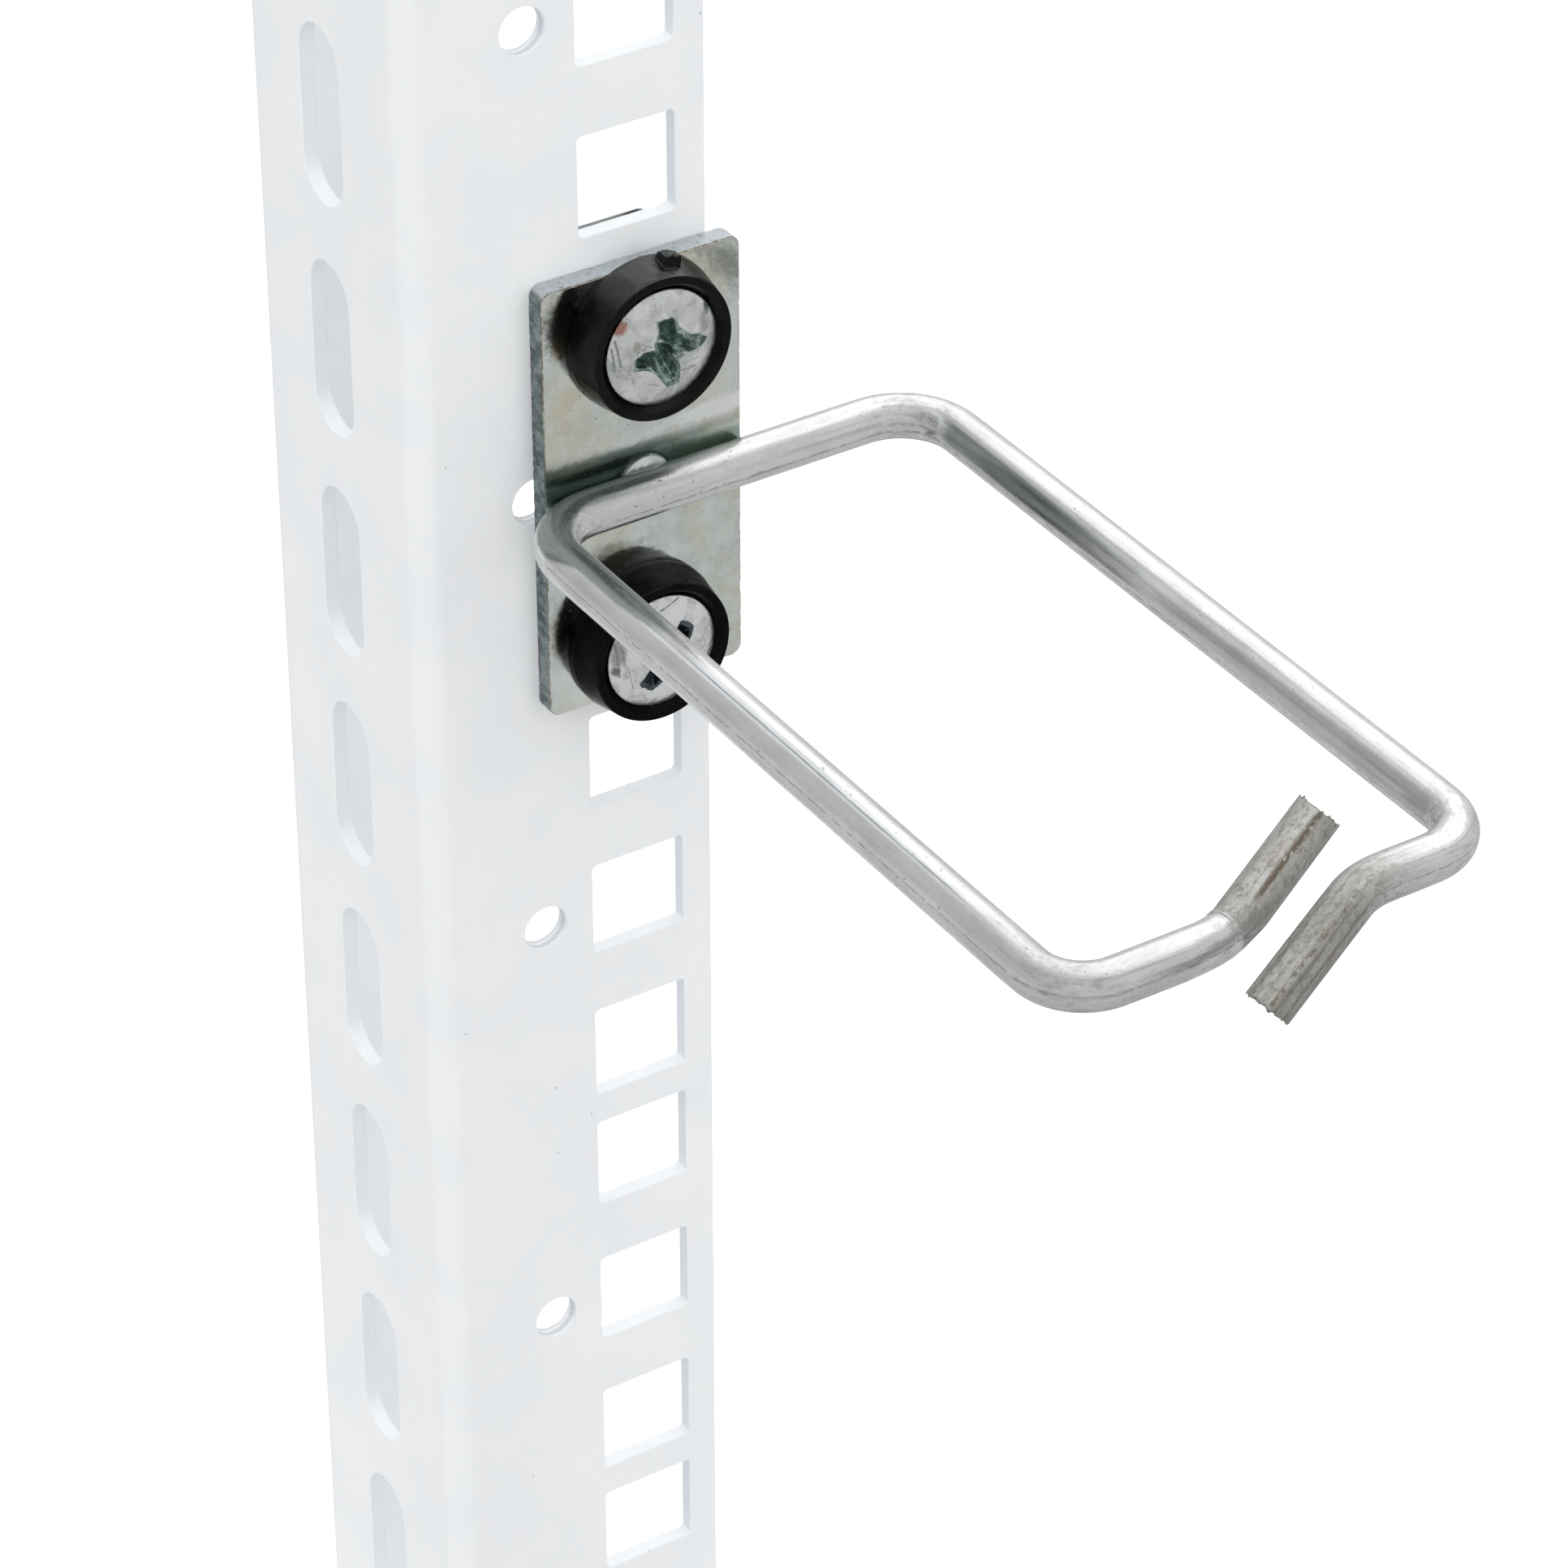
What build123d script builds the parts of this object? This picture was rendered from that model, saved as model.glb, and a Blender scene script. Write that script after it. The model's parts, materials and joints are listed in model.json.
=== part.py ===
"""A six-unit 19-inch rack mounting rail with a wire cable ring screwed to its front. Millimetres.

Frame: the origin is on the rail's front face, at the centre of the square hole behind the middle of
the ring's plate. +X runs across the front face away from the side web, +Z is up, and the front faces -Y.
"""
import os

from build123d import *

os.makedirs("parts", exist_ok=True)

# Rack pattern: each unit has three square holes, one step apart, about its middle.
RACK_UNIT = 44.45
HOLE_STEP = 15.875
UNITS_BELOW = 3
UNITS_ABOVE = 2
SQUARE_HOLE = 9.4
SQUARE_HOLE_CORNER = 0.5

# Rail: folded sheet, a front flange, a side web and a narrow back flange.
SHEET = 1.5
RAIL_LEFT = -21.0
RAIL_RIGHT = 7.6
RAIL_DEPTH = 26.7
BACK_FLANGE = 15.0
BEND_OUTER = 2.3
ROUND_HOLE = 4.3  # tapped M5, bored at the thread's inner size
ROUND_HOLE_X = -9.6
WEB_SLOT_LENGTH = 16.6
WEB_SLOT_WIDTH = 6.6
WEB_SLOT_DEPTH = 13.8
WEB_SLOT_RISE = 0.55

# Ring plate and the wire ring welded to its middle.
PLATE_WIDTH = 19.5
PLATE_HEIGHT = 41.9
PLATE = 2.0
PLATE_CORNER = 1.1
PLATE_HOLE = 7.4
PLATE_HOLE_STEP = 30.05
WELD_HOLE = 5.2
WELD_CROWN = 0.8
WIRE = 4.0
RING_LEFT = -12.45
RING_RIGHT = 27.0
RING_FRONT = -82.65
REAR_BEND = 6.0
FRONT_LEFT_BEND = 4.7
FRONT_RIGHT_BEND = 5.0
TAIL_BEND = 8.0
INNER_TAIL_START = 2.2
INNER_TAIL_END = (18.609, -72.794)
OUTER_TAIL_START = 15.35
OUTER_TAIL_END = (-0.164, -91.537)
TAIL_CUT = (0.738, 0.027, 0.674)  # the shear's direction across both ends
TAIL_SPARE = 3.0  # length swept past each end and cut off again

# M6 screws as (x, z), each off its square hole's centre by the play in its cage nut.
UPPER_SCREW = (0.0, 14.55)
LOWER_SCREW = (-0.4, -15.5)
SHANK = 5.9
SCREW_LENGTH = 16.0
SHANK_POINT = 0.6
HEAD_RADIUS = 5.38
HEAD_CROWN = 1.4
HEAD_RIM_Y = -5.15
RECESS_SPAN = 6.7
RECESS_WIDTH = 1.9
RECESS_DEPTH = 3.4
RECESS_FOOT = 0.45
CUT_CLEAR = 0.2  # cutting shapes start this far outside the surface they cut
SEAT_PLAY = 0.07  # how far the head's cone stands off its seat, along the axis
UPPER_RECESS_TURN = 2.0
LOWER_RECESS_TURN = 45.0

# Cup washers under the screw heads.
CUP_RADIUS = 7.2
CUP_FOOT = 0.5
CUP_RIM_RADIUS = 6.68
CUP_RIM_Y = -5.55
CUP_RIM_EDGE = 0.22
CUP_LIP_RADIUS = 6.0
CUP_BORE = 3.25
CUP_SEAT_RADIUS = 5.5
CUP_SEAT_Y = -5.0
GATE_NUB = 1.5
GATE_NUB_X = 1.75
GATE_NUB_Y = -2.6

# Cage nuts: a bent spring strip through the square hole, holding a loose square nut.
CAGE_STRIP = 0.5
CAGE_HEIGHT = 9.8
CAGE_LUG_HEIGHT = 8.2
CAGE_DROP = 0.25  # how far each cage sits from its hole's centre, towards the ring
CAGE_HALF_WIDTH = 5.95
CAGE_BACK = 7.5
CAGE_LUG_OUTER = 4.6
CAGE_LUG_TIP = 0.15
CAGE_GAP = 0.05
CAGE_OPENING = 8.2
CAGE_BEND = 0.6
LUG_BEND = 0.3
NUT_WIDTH = 10.0
NUT_THICKNESS = 4.2
NUT_BORE = 6.0
NUT_FRONT = 2.3
NUT_CHAMFER = 0.5

RAIL_BOTTOM = -(UNITS_BELOW + 0.5) * RACK_UNIT
UNITS = UNITS_BELOW + 1 + UNITS_ABOVE
RAIL_LENGTH = UNITS * RACK_UNIT
RAIL_MIDDLE = RAIL_BOTTOM + RAIL_LENGTH / 2
PLATE_FRONT = -PLATE
WIRE_REAR = PLATE_FRONT - WIRE / 2
FACING = Plane.XZ  # its normal is -Y, its local x is +X and its local y is +Z


def front_plane(y, centre, turn=0.0):
    """A plane facing -Y whose origin is on a screw axis, turned about that axis in degrees."""
    x, z = centre
    return Plane(origin=(x, y, z), x_dir=(1, 0, 0), z_dir=(0, -1, 0)).rotated((0, 0, turn))


def half_section(centre):
    """A level plane through a screw axis, its local x across the axis and its local y along it."""
    x, z = centre
    return Plane(origin=(x, 0, z), x_dir=(1, 0, 0), z_dir=(0, 0, 1))


def screw_axis(centre):
    x, z = centre
    return Axis((x, 0, z), (0, 1, 0))


def past_end(end, before):
    """The point a spare length beyond a tail's end, on the tail's own line."""
    run = (Vector(*end) - Vector(*before)).normalized()
    return Vector(*end) + run * TAIL_SPARE


# Mounting rail
with BuildPart() as mounting_rail:
    with BuildSketch(Plane.XY.offset(RAIL_BOTTOM)):
        with BuildLine():
            FilletPolyline(
                (RAIL_RIGHT, SHEET / 2),
                (RAIL_LEFT + SHEET / 2, SHEET / 2),
                (RAIL_LEFT + SHEET / 2, RAIL_DEPTH - SHEET / 2),
                (RAIL_LEFT + BACK_FLANGE, RAIL_DEPTH - SHEET / 2),
                radius=BEND_OUTER - SHEET / 2,
            )
        trace(line_width=SHEET)
    extrude(amount=RAIL_LENGTH)
    with BuildSketch(FACING):
        with Locations((0, RAIL_MIDDLE)):
            with GridLocations(1, RACK_UNIT, 1, UNITS):
                with GridLocations(1, HOLE_STEP, 1, 3):
                    RectangleRounded(SQUARE_HOLE, SQUARE_HOLE, SQUARE_HOLE_CORNER)
        with Locations((ROUND_HOLE_X, RAIL_MIDDLE)):
            with GridLocations(1, RACK_UNIT, 1, UNITS):
                Circle(ROUND_HOLE / 2)
    extrude(amount=-SHEET, mode=Mode.SUBTRACT)
    with BuildSketch(Plane.YZ.offset(RAIL_LEFT)):
        with Locations((WEB_SLOT_DEPTH, RAIL_MIDDLE + WEB_SLOT_RISE)):
            with GridLocations(1, RACK_UNIT / 2, 1, 2 * UNITS):
                SlotOverall(WEB_SLOT_LENGTH, WEB_SLOT_WIDTH, rotation=90)
    extrude(amount=SHEET, mode=Mode.SUBTRACT)


# Ring plate
with BuildPart() as ring_plate:
    with BuildSketch(FACING):
        RectangleRounded(PLATE_WIDTH, PLATE_HEIGHT, PLATE_CORNER)
        with GridLocations(1, PLATE_HOLE_STEP, 1, 2):
            Circle(PLATE_HOLE / 2, mode=Mode.SUBTRACT)
        Circle(WELD_HOLE / 2, mode=Mode.SUBTRACT)
    extrude(amount=PLATE)


# Wire ring: one piece of wire, from the end of the inner tail round to the end of the outer tail
with BuildPart() as wire_ring:
    with BuildLine() as wire_path:
        FilletPolyline(
            past_end(INNER_TAIL_END, (INNER_TAIL_START, RING_FRONT)),
            (INNER_TAIL_START, RING_FRONT),
            (RING_LEFT, RING_FRONT),
            (RING_LEFT, WIRE_REAR),
            (RING_RIGHT, WIRE_REAR),
            (RING_RIGHT, RING_FRONT),
            (OUTER_TAIL_START, RING_FRONT),
            past_end(OUTER_TAIL_END, (OUTER_TAIL_START, RING_FRONT)),
            radius=(TAIL_BEND, FRONT_LEFT_BEND, REAR_BEND, REAR_BEND, FRONT_RIGHT_BEND, TAIL_BEND),
        )
    with BuildSketch(wire_path.line ^ 0):
        Circle(WIRE / 2)
    sweep()
    for end, outward in ((INNER_TAIL_END, 1), (OUTER_TAIL_END, -1)):
        with BuildSketch(Plane(origin=(*end, 0), z_dir=Vector(*TAIL_CUT) * outward)):
            Circle(WIRE)
        extrude(amount=2 * TAIL_SPARE, mode=Mode.SUBTRACT)


# Weld: a plug in the plate's middle hole, crowned up against both flanks of the wire
with BuildPart() as ring_weld:
    with BuildSketch(FACING):
        Circle(WELD_HOLE / 2)
    extrude(amount=PLATE + WELD_CROWN)
    fillet(ring_weld.faces().sort_by(Axis.Y)[0].edges(), radius=WELD_CROWN * 0.9)
    with BuildSketch(Plane.YZ.offset(-WELD_HOLE)):
        with Locations((WIRE_REAR, 0)):
            Circle(WIRE / 2)
    extrude(amount=2 * WELD_HOLE, mode=Mode.SUBTRACT)


def make_screw(centre, recess_turn):
    """Raised countersunk M6 screw with a cross recess, its plain shank at the thread's outer size."""
    cone_offset = CUP_SEAT_RADIUS + CUP_SEAT_Y - SEAT_PLAY
    tip = HEAD_RIM_Y + SCREW_LENGTH
    crown_y = HEAD_RIM_Y - HEAD_CROWN
    with BuildPart() as screw:
        with BuildSketch(half_section(centre)):
            with BuildLine():
                Polyline(
                    (0, crown_y),
                    (0, tip),
                    (SHANK / 2 - SHANK_POINT, tip),
                    (SHANK / 2, tip - SHANK_POINT),
                    (SHANK / 2, cone_offset - SHANK / 2),
                    (HEAD_RADIUS, cone_offset - HEAD_RADIUS),
                    (HEAD_RADIUS, HEAD_RIM_Y),
                )
                TangentArc((0, crown_y), (HEAD_RADIUS, HEAD_RIM_Y), tangent=(1, 0))
            make_face()
        revolve(axis=screw_axis(centre))
        for quarter in (0, 90):
            with BuildSketch(front_plane(crown_y - CUT_CLEAR, centre, recess_turn)):
                Rectangle(RECESS_SPAN, RECESS_WIDTH, rotation=quarter)
            with BuildSketch(front_plane(crown_y + RECESS_DEPTH, centre, recess_turn)):
                Rectangle(RECESS_SPAN * RECESS_FOOT, RECESS_WIDTH * RECESS_FOOT, rotation=quarter)
            loft(mode=Mode.SUBTRACT)
    return screw


def make_cup_washer(centre, has_gate_nub):
    """Moulded cup with a conical seat for the screw's head and a flat rim round it."""
    seat_foot = CUP_SEAT_Y + CUP_SEAT_RADIUS - CUP_BORE
    with BuildPart() as washer:
        with BuildSketch(half_section(centre)) as rim_sketch:
            with BuildLine():
                Polyline(
                    (CUP_LIP_RADIUS, CUP_RIM_Y),
                    (CUP_SEAT_RADIUS, CUP_SEAT_Y),
                    (CUP_BORE, seat_foot),
                    (CUP_BORE, PLATE_FRONT),
                    (CUP_RADIUS, PLATE_FRONT),
                    (CUP_RADIUS, PLATE_FRONT - CUP_FOOT),
                    (CUP_RIM_RADIUS, CUP_RIM_Y),
                    close=True,
                )
            make_face()
            fillet(rim_sketch.vertices().sort_by(Axis.Y)[:2], radius=CUP_RIM_EDGE)
        revolve(axis=screw_axis(centre))
        if has_gate_nub:
            with BuildSketch(front_plane(GATE_NUB_Y, centre)):
                with Locations((GATE_NUB_X, CUP_RADIUS)):
                    RectangleRounded(GATE_NUB, GATE_NUB, GATE_NUB / 4)
            extrude(amount=GATE_NUB)
    return washer


def make_cage(centre):
    """Spring strip bent round the nut, its two narrower lugs reaching forward through a square hole."""
    strip = CAGE_STRIP / 2
    lug_x = CAGE_LUG_OUTER - strip
    side_x = CAGE_HALF_WIDTH - strip
    shoulder_y = SHEET + CAGE_GAP + strip
    back_y = CAGE_BACK - strip
    with BuildPart() as cage:
        with BuildSketch(half_section(centre).offset(-CAGE_HEIGHT / 2)):
            with BuildLine():
                FilletPolyline(
                    (-lug_x, CAGE_LUG_TIP),
                    (-lug_x, shoulder_y),
                    (-side_x, shoulder_y),
                    (-side_x, back_y),
                    (side_x, back_y),
                    (side_x, shoulder_y),
                    (lug_x, shoulder_y),
                    (lug_x, CAGE_LUG_TIP),
                    radius=(LUG_BEND, CAGE_BEND, CAGE_BEND, CAGE_BEND, CAGE_BEND, LUG_BEND),
                )
            trace(line_width=CAGE_STRIP)
        extrude(amount=CAGE_HEIGHT)
        with BuildSketch(front_plane(CAGE_BACK, centre)):
            Circle(CAGE_OPENING / 2)
        extrude(amount=CAGE_STRIP, mode=Mode.SUBTRACT)
        with BuildSketch(front_plane(SHEET + CAGE_GAP, centre)):
            Rectangle(2 * CAGE_HALF_WIDTH, 2 * CAGE_HEIGHT)
            Rectangle(2 * CAGE_HALF_WIDTH, CAGE_LUG_HEIGHT, mode=Mode.SUBTRACT)
        extrude(amount=2 * SHEET, mode=Mode.SUBTRACT)
    return cage


def make_nut(centre):
    """Square nut with its corners dressed, bored at the thread's outer size."""
    with BuildPart() as nut:
        with BuildSketch(front_plane(NUT_FRONT + NUT_THICKNESS, centre)):
            Rectangle(NUT_WIDTH, NUT_WIDTH)
            Circle(NUT_BORE / 2, mode=Mode.SUBTRACT)
        extrude(amount=NUT_THICKNESS)
        chamfer(nut.edges().filter_by(Axis.Y).filter_by(GeomType.LINE), length=NUT_CHAMFER)
    return nut


upper_screw = make_screw(UPPER_SCREW, UPPER_RECESS_TURN)
lower_screw = make_screw(LOWER_SCREW, LOWER_RECESS_TURN)
upper_cup_washer = make_cup_washer(UPPER_SCREW, True)
lower_cup_washer = make_cup_washer(LOWER_SCREW, False)
upper_cage = make_cage((0, HOLE_STEP - CAGE_DROP))
lower_cage = make_cage((0, CAGE_DROP - HOLE_STEP))
upper_nut = make_nut(UPPER_SCREW)
lower_nut = make_nut(LOWER_SCREW)

PIECES = {
    "mounting_rail": mounting_rail,
    "ring_plate": ring_plate,
    "wire_ring": wire_ring,
    "ring_weld": ring_weld,
    "upper_screw": upper_screw,
    "lower_screw": lower_screw,
    "upper_cup_washer": upper_cup_washer,
    "lower_cup_washer": lower_cup_washer,
    "upper_cage": upper_cage,
    "lower_cage": lower_cage,
    "upper_nut": upper_nut,
    "lower_nut": lower_nut,
}
for name, piece in PIECES.items():
    piece.part.label = name
    export_step(piece.part, f"parts/{name}.step")
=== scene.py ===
import json
import math

import bmesh
import bpy
import numpy as np
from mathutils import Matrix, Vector, geometry, noise


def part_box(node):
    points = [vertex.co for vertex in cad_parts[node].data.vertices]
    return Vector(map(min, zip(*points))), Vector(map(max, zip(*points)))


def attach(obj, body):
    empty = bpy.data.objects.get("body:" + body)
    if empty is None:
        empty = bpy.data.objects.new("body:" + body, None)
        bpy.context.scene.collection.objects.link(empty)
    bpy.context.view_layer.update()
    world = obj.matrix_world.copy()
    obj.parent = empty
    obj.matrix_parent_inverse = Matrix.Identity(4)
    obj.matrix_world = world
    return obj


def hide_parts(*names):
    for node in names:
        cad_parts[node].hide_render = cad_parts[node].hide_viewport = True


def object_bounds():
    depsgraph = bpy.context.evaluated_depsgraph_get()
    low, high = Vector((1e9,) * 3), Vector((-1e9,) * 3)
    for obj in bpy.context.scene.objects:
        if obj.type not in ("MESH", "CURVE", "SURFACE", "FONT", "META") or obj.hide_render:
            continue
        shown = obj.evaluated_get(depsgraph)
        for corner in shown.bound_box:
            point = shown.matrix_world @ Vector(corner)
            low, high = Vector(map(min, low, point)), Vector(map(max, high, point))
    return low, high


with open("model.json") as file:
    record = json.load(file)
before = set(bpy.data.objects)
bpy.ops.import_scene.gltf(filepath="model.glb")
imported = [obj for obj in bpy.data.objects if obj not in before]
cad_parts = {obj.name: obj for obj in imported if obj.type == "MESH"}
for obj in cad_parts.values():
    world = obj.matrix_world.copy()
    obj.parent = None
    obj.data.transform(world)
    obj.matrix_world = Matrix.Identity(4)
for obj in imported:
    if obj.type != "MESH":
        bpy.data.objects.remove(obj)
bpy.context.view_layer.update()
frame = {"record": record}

# Lengths are in millimetres until a mesh is made. A "wear" or other mask is one number a point, from 0 to 1.
MM = 0.001


def box_mm(node):
    """Lowest and highest corner of a CAD node, in millimetres."""
    low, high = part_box(node)
    return np.array(low) / MM, np.array(high) / MM


def smooth_step(x, a, b):
    t = np.clip((np.asarray(x, float) - a) / (b - a), 0.0, 1.0)
    return t * t * (3 - 2 * t)


def span(x, rise, full, fade, end):
    """0 to 1 between rise and full, and back to 0 between fade and end."""
    return smooth_step(x, rise, full) * (1 - smooth_step(x, fade, end))


def bump(x, middle, width):
    return np.exp(-((x - middle) / width) ** 2)


def xyz(x, y, z):
    return np.stack(np.broadcast_arrays(x, y, z), -1)


def around(radius, y, angle):
    """Points round the Y axis."""
    return xyz(radius * np.cos(angle), y, radius * np.sin(angle))


def full_turn(count):
    return np.arange(count) / count * 2 * math.pi


def wander(points, scale, seed=0.0, detail=3):
    """Perlin noise, about -1 to 1, at each point."""
    shift = Vector((seed * 7.3, seed * 3.1, seed * 5.7))
    return np.array([noise.fractal(Vector(p) * scale + shift, 0.6, 2.0, detail) for p in points])


# ---------------------------------------------------------------- paths and outlines

class Path:
    """A plane line with rounded corners, measured by its own length."""

    def __init__(self, points, radii):
        points = [np.array(p, float) for p in points]
        self.parts, self.bends, self.length, start = [], [], 0.0, points[0]
        for here, radius, last, after in zip(points[1:-1], radii, points, points[2:]):
            before, after = ((q - p) / np.linalg.norm(q - p) for p, q in ((last, here), (here, after)))
            turn = math.atan2(before[0] * after[1] - before[1] * after[0], float(before @ after))
            cut = radius * math.tan(abs(turn) / 2)
            end = here - before * cut
            self.extend(float((end - start) @ before), start, before, 0.0)
            arc = radius * abs(turn)
            self.bends.append((self.length, self.length + arc, turn))
            self.extend(arc, end, before, turn / arc)
            start = here + after * cut
        run = points[-1] - start
        length = float(np.linalg.norm(run))
        self.extend(length, start, run / length, 0.0)

    def extend(self, length, start, heading, bend):
        self.parts.append((self.length, start, heading, bend))
        self.length += length

    def at(self, s):
        """(place, direction, left-hand normal) at each length in s."""
        s = np.asarray(s, float)
        number = np.clip(np.searchsorted([part[0] for part in self.parts], s, "right") - 1, 0, None)
        place, way = np.zeros((len(s), 2)), np.zeros((len(s), 2))
        for k, (begin, start, heading, bend) in enumerate(self.parts):
            here = number == k
            run = (s[here] - begin)[:, None]
            left = np.array([-heading[1], heading[0]])
            if bend:
                angle = run * bend
                place[here] = start + (np.sin(angle) * heading + (1 - np.cos(angle)) * left) / bend
                way[here] = np.cos(angle) * heading + np.sin(angle) * left
            else:
                place[here] = start + run * heading
                way[here] = heading
        return place, way, np.stack([-way[:, 1], way[:, 0]], -1)

    def creases(self, steps):
        """Lengths that cut every bend into equal steps."""
        return sorted({a + (b - a) * k / steps for a, b, _ in self.bends for k in range(steps + 1)})


def rounded_outline(corners, radii, arc_steps=5, step=math.inf, marks=()):
    """Points and outward normals of an outline of level and upright sides, listed anticlockwise.

    Every side is cut at least every step, and the level sides at the marks too.
    """
    points, outward = [], []
    for k in range(len(corners)):
        before, here, after = (np.array(corners[(k + j) % len(corners)], float) for j in (-1, 0, 1))
        a, b = ((q - p) / np.linalg.norm(q - p) for p, q in ((before, here), (here, after)))
        out_a, out_b = np.array([a[1], -a[0]]), np.array([b[1], -b[0]])
        if radii[k]:
            for t in np.arange(arc_steps + 1) / arc_steps * math.pi / 2:
                outward.append(out_a * math.cos(t) + out_b * math.sin(t))
                points.append(here + (outward[-1] - out_a - out_b) * radii[k])
        else:
            outward.append(out_a + out_b)
            points.append(here)
        axis = 0 if abs(b[0]) > 0.5 else 1
        start, end = points[-1][axis], (after - b * radii[(k + 1) % len(corners)])[axis]
        count = max(1, int(abs(end - start) / step))
        cuts = {round(float(start + (end - start) * j / count), 5) for j in range(1, count)}
        if axis == 0:
            low, high = sorted((start, end))
            cuts |= {round(float(mark), 5) for mark in marks if low + 0.01 < mark < high - 0.01}
        for value in sorted(cuts, reverse=bool(end < start)):
            points.append(points[-1].copy())
            points[-1][axis] = value
            outward.append(out_b)
    return np.array(points), np.array(outward)


def rectangle(centre, half, corner, **options):
    signs = np.array([(1, 1), (-1, 1), (-1, -1), (1, -1)])
    return rounded_outline(np.array(centre) + signs * half, [corner] * 4, **options)


def circle(centre, radius, count):
    angle = full_turn(count)
    outward = np.stack([np.cos(angle), np.sin(angle)], -1)
    return np.array(centre) + radius * outward, outward


def slot(centre, length, width, steps=9):
    """An upright slot with round ends."""
    angle = np.concatenate([np.arange(steps + 1), np.arange(steps + 1) + steps]) / steps * math.pi
    outward = np.stack([np.cos(angle), np.sin(angle)], -1)
    lift = np.repeat([1, -1], steps + 1) * (length - width) / 2
    return np.array(centre) + width / 2 * outward + np.stack([lift * 0, lift], -1), outward


def inside(points, outline):
    """Which points lie inside a closed outline."""
    result = np.zeros(len(points), bool)
    for (ax, ay), (bx, by) in zip(outline, np.roll(outline, -1, 0)):
        crosses = (ay > points[:, 1]) != (by > points[:, 1])
        with np.errstate(divide="ignore", invalid="ignore"):
            result ^= crosses & (points[:, 0] < (bx - ax) * (points[:, 1] - ay) / (by - ay) + ax)
    return result


# ---------------------------------------------------------------- meshes

def add_piece(name, node, body, finish, verts, faces, normals=None, **masks):
    """Makes one smooth mesh piece that stands for a CAD node and rides on its body."""
    material, slot_name = finish
    mesh = bpy.data.meshes.new(name)
    mesh.from_pydata((np.asarray(verts) * MM).tolist(), [], [list(face) for face in faces])
    shape = bmesh.new()
    shape.from_mesh(mesh)
    bmesh.ops.recalc_face_normals(shape, faces=shape.faces)
    shape.to_mesh(mesh)
    shape.free()
    mesh.polygons.foreach_set("use_smooth", [True] * len(mesh.polygons))
    for key, values in masks.items():
        values = np.asarray(values, float)
        kind, field = ("FLOAT", "value") if values.ndim == 1 else ("FLOAT_VECTOR", "vector")
        mesh.attributes.new(key, kind, "POINT").data.foreach_set(field, values.ravel())
    mesh.update()
    if normals is not None:
        mesh.normals_split_custom_set_from_vertices(normals.tolist())
    mesh.materials.append(material)
    piece = bpy.data.objects.new(name, mesh)
    bpy.context.scene.collection.objects.link(piece)
    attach(piece, body)
    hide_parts(node)


def ring_faces(start, other, count):
    """Four-sided faces between two rings of points."""
    return [(start + k, start + (k + 1) % count, other + (k + 1) % count, other + k) for k in range(count)]


def fan(ring, middle, count):
    """Triangles between a ring of points and one middle point."""
    return [(ring + k, ring + (k + 1) % count, middle) for k in range(count)]


def wall_rows(thickness, lip, side, wall, lip_steps=4):
    """Rows (offset, depth, across, through, wear) round an edge: side 1 for a hole, -1 for an outline."""
    rows = []
    for a in np.arange(lip_steps + 1) / lip_steps * math.pi / 2:
        rows.append((side * lip * (1 - math.sin(a)), thickness / 2 - lip * (1 - math.cos(a)),
                     -side * math.sin(a), math.cos(a), math.sin(2 * a)))
    for k in range(1, wall):
        rows.append((0.0, (thickness / 2 - lip) * (1 - 2 * k / wall), -side, 0.0, 0.0))
    return rows + [(offset, -depth, across, -through, wear)
                   for offset, depth, across, through, wear in rows[lip_steps::-1]]


def crease_edges(places, rim, crease):
    """Edges along a fold, between the rim points nearest to where it crosses the rims."""
    met = set()
    for i, j in rim:
        a, b = places[i][0] - crease, places[j][0] - crease
        if min(abs(a), abs(b)) < 2e-5 or a * b < 0:
            met.add(i if abs(a) < abs(b) else j)
    met = sorted(met, key=lambda i: places[i][1])
    return list(zip(met[::2], met[1::2]))


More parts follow.
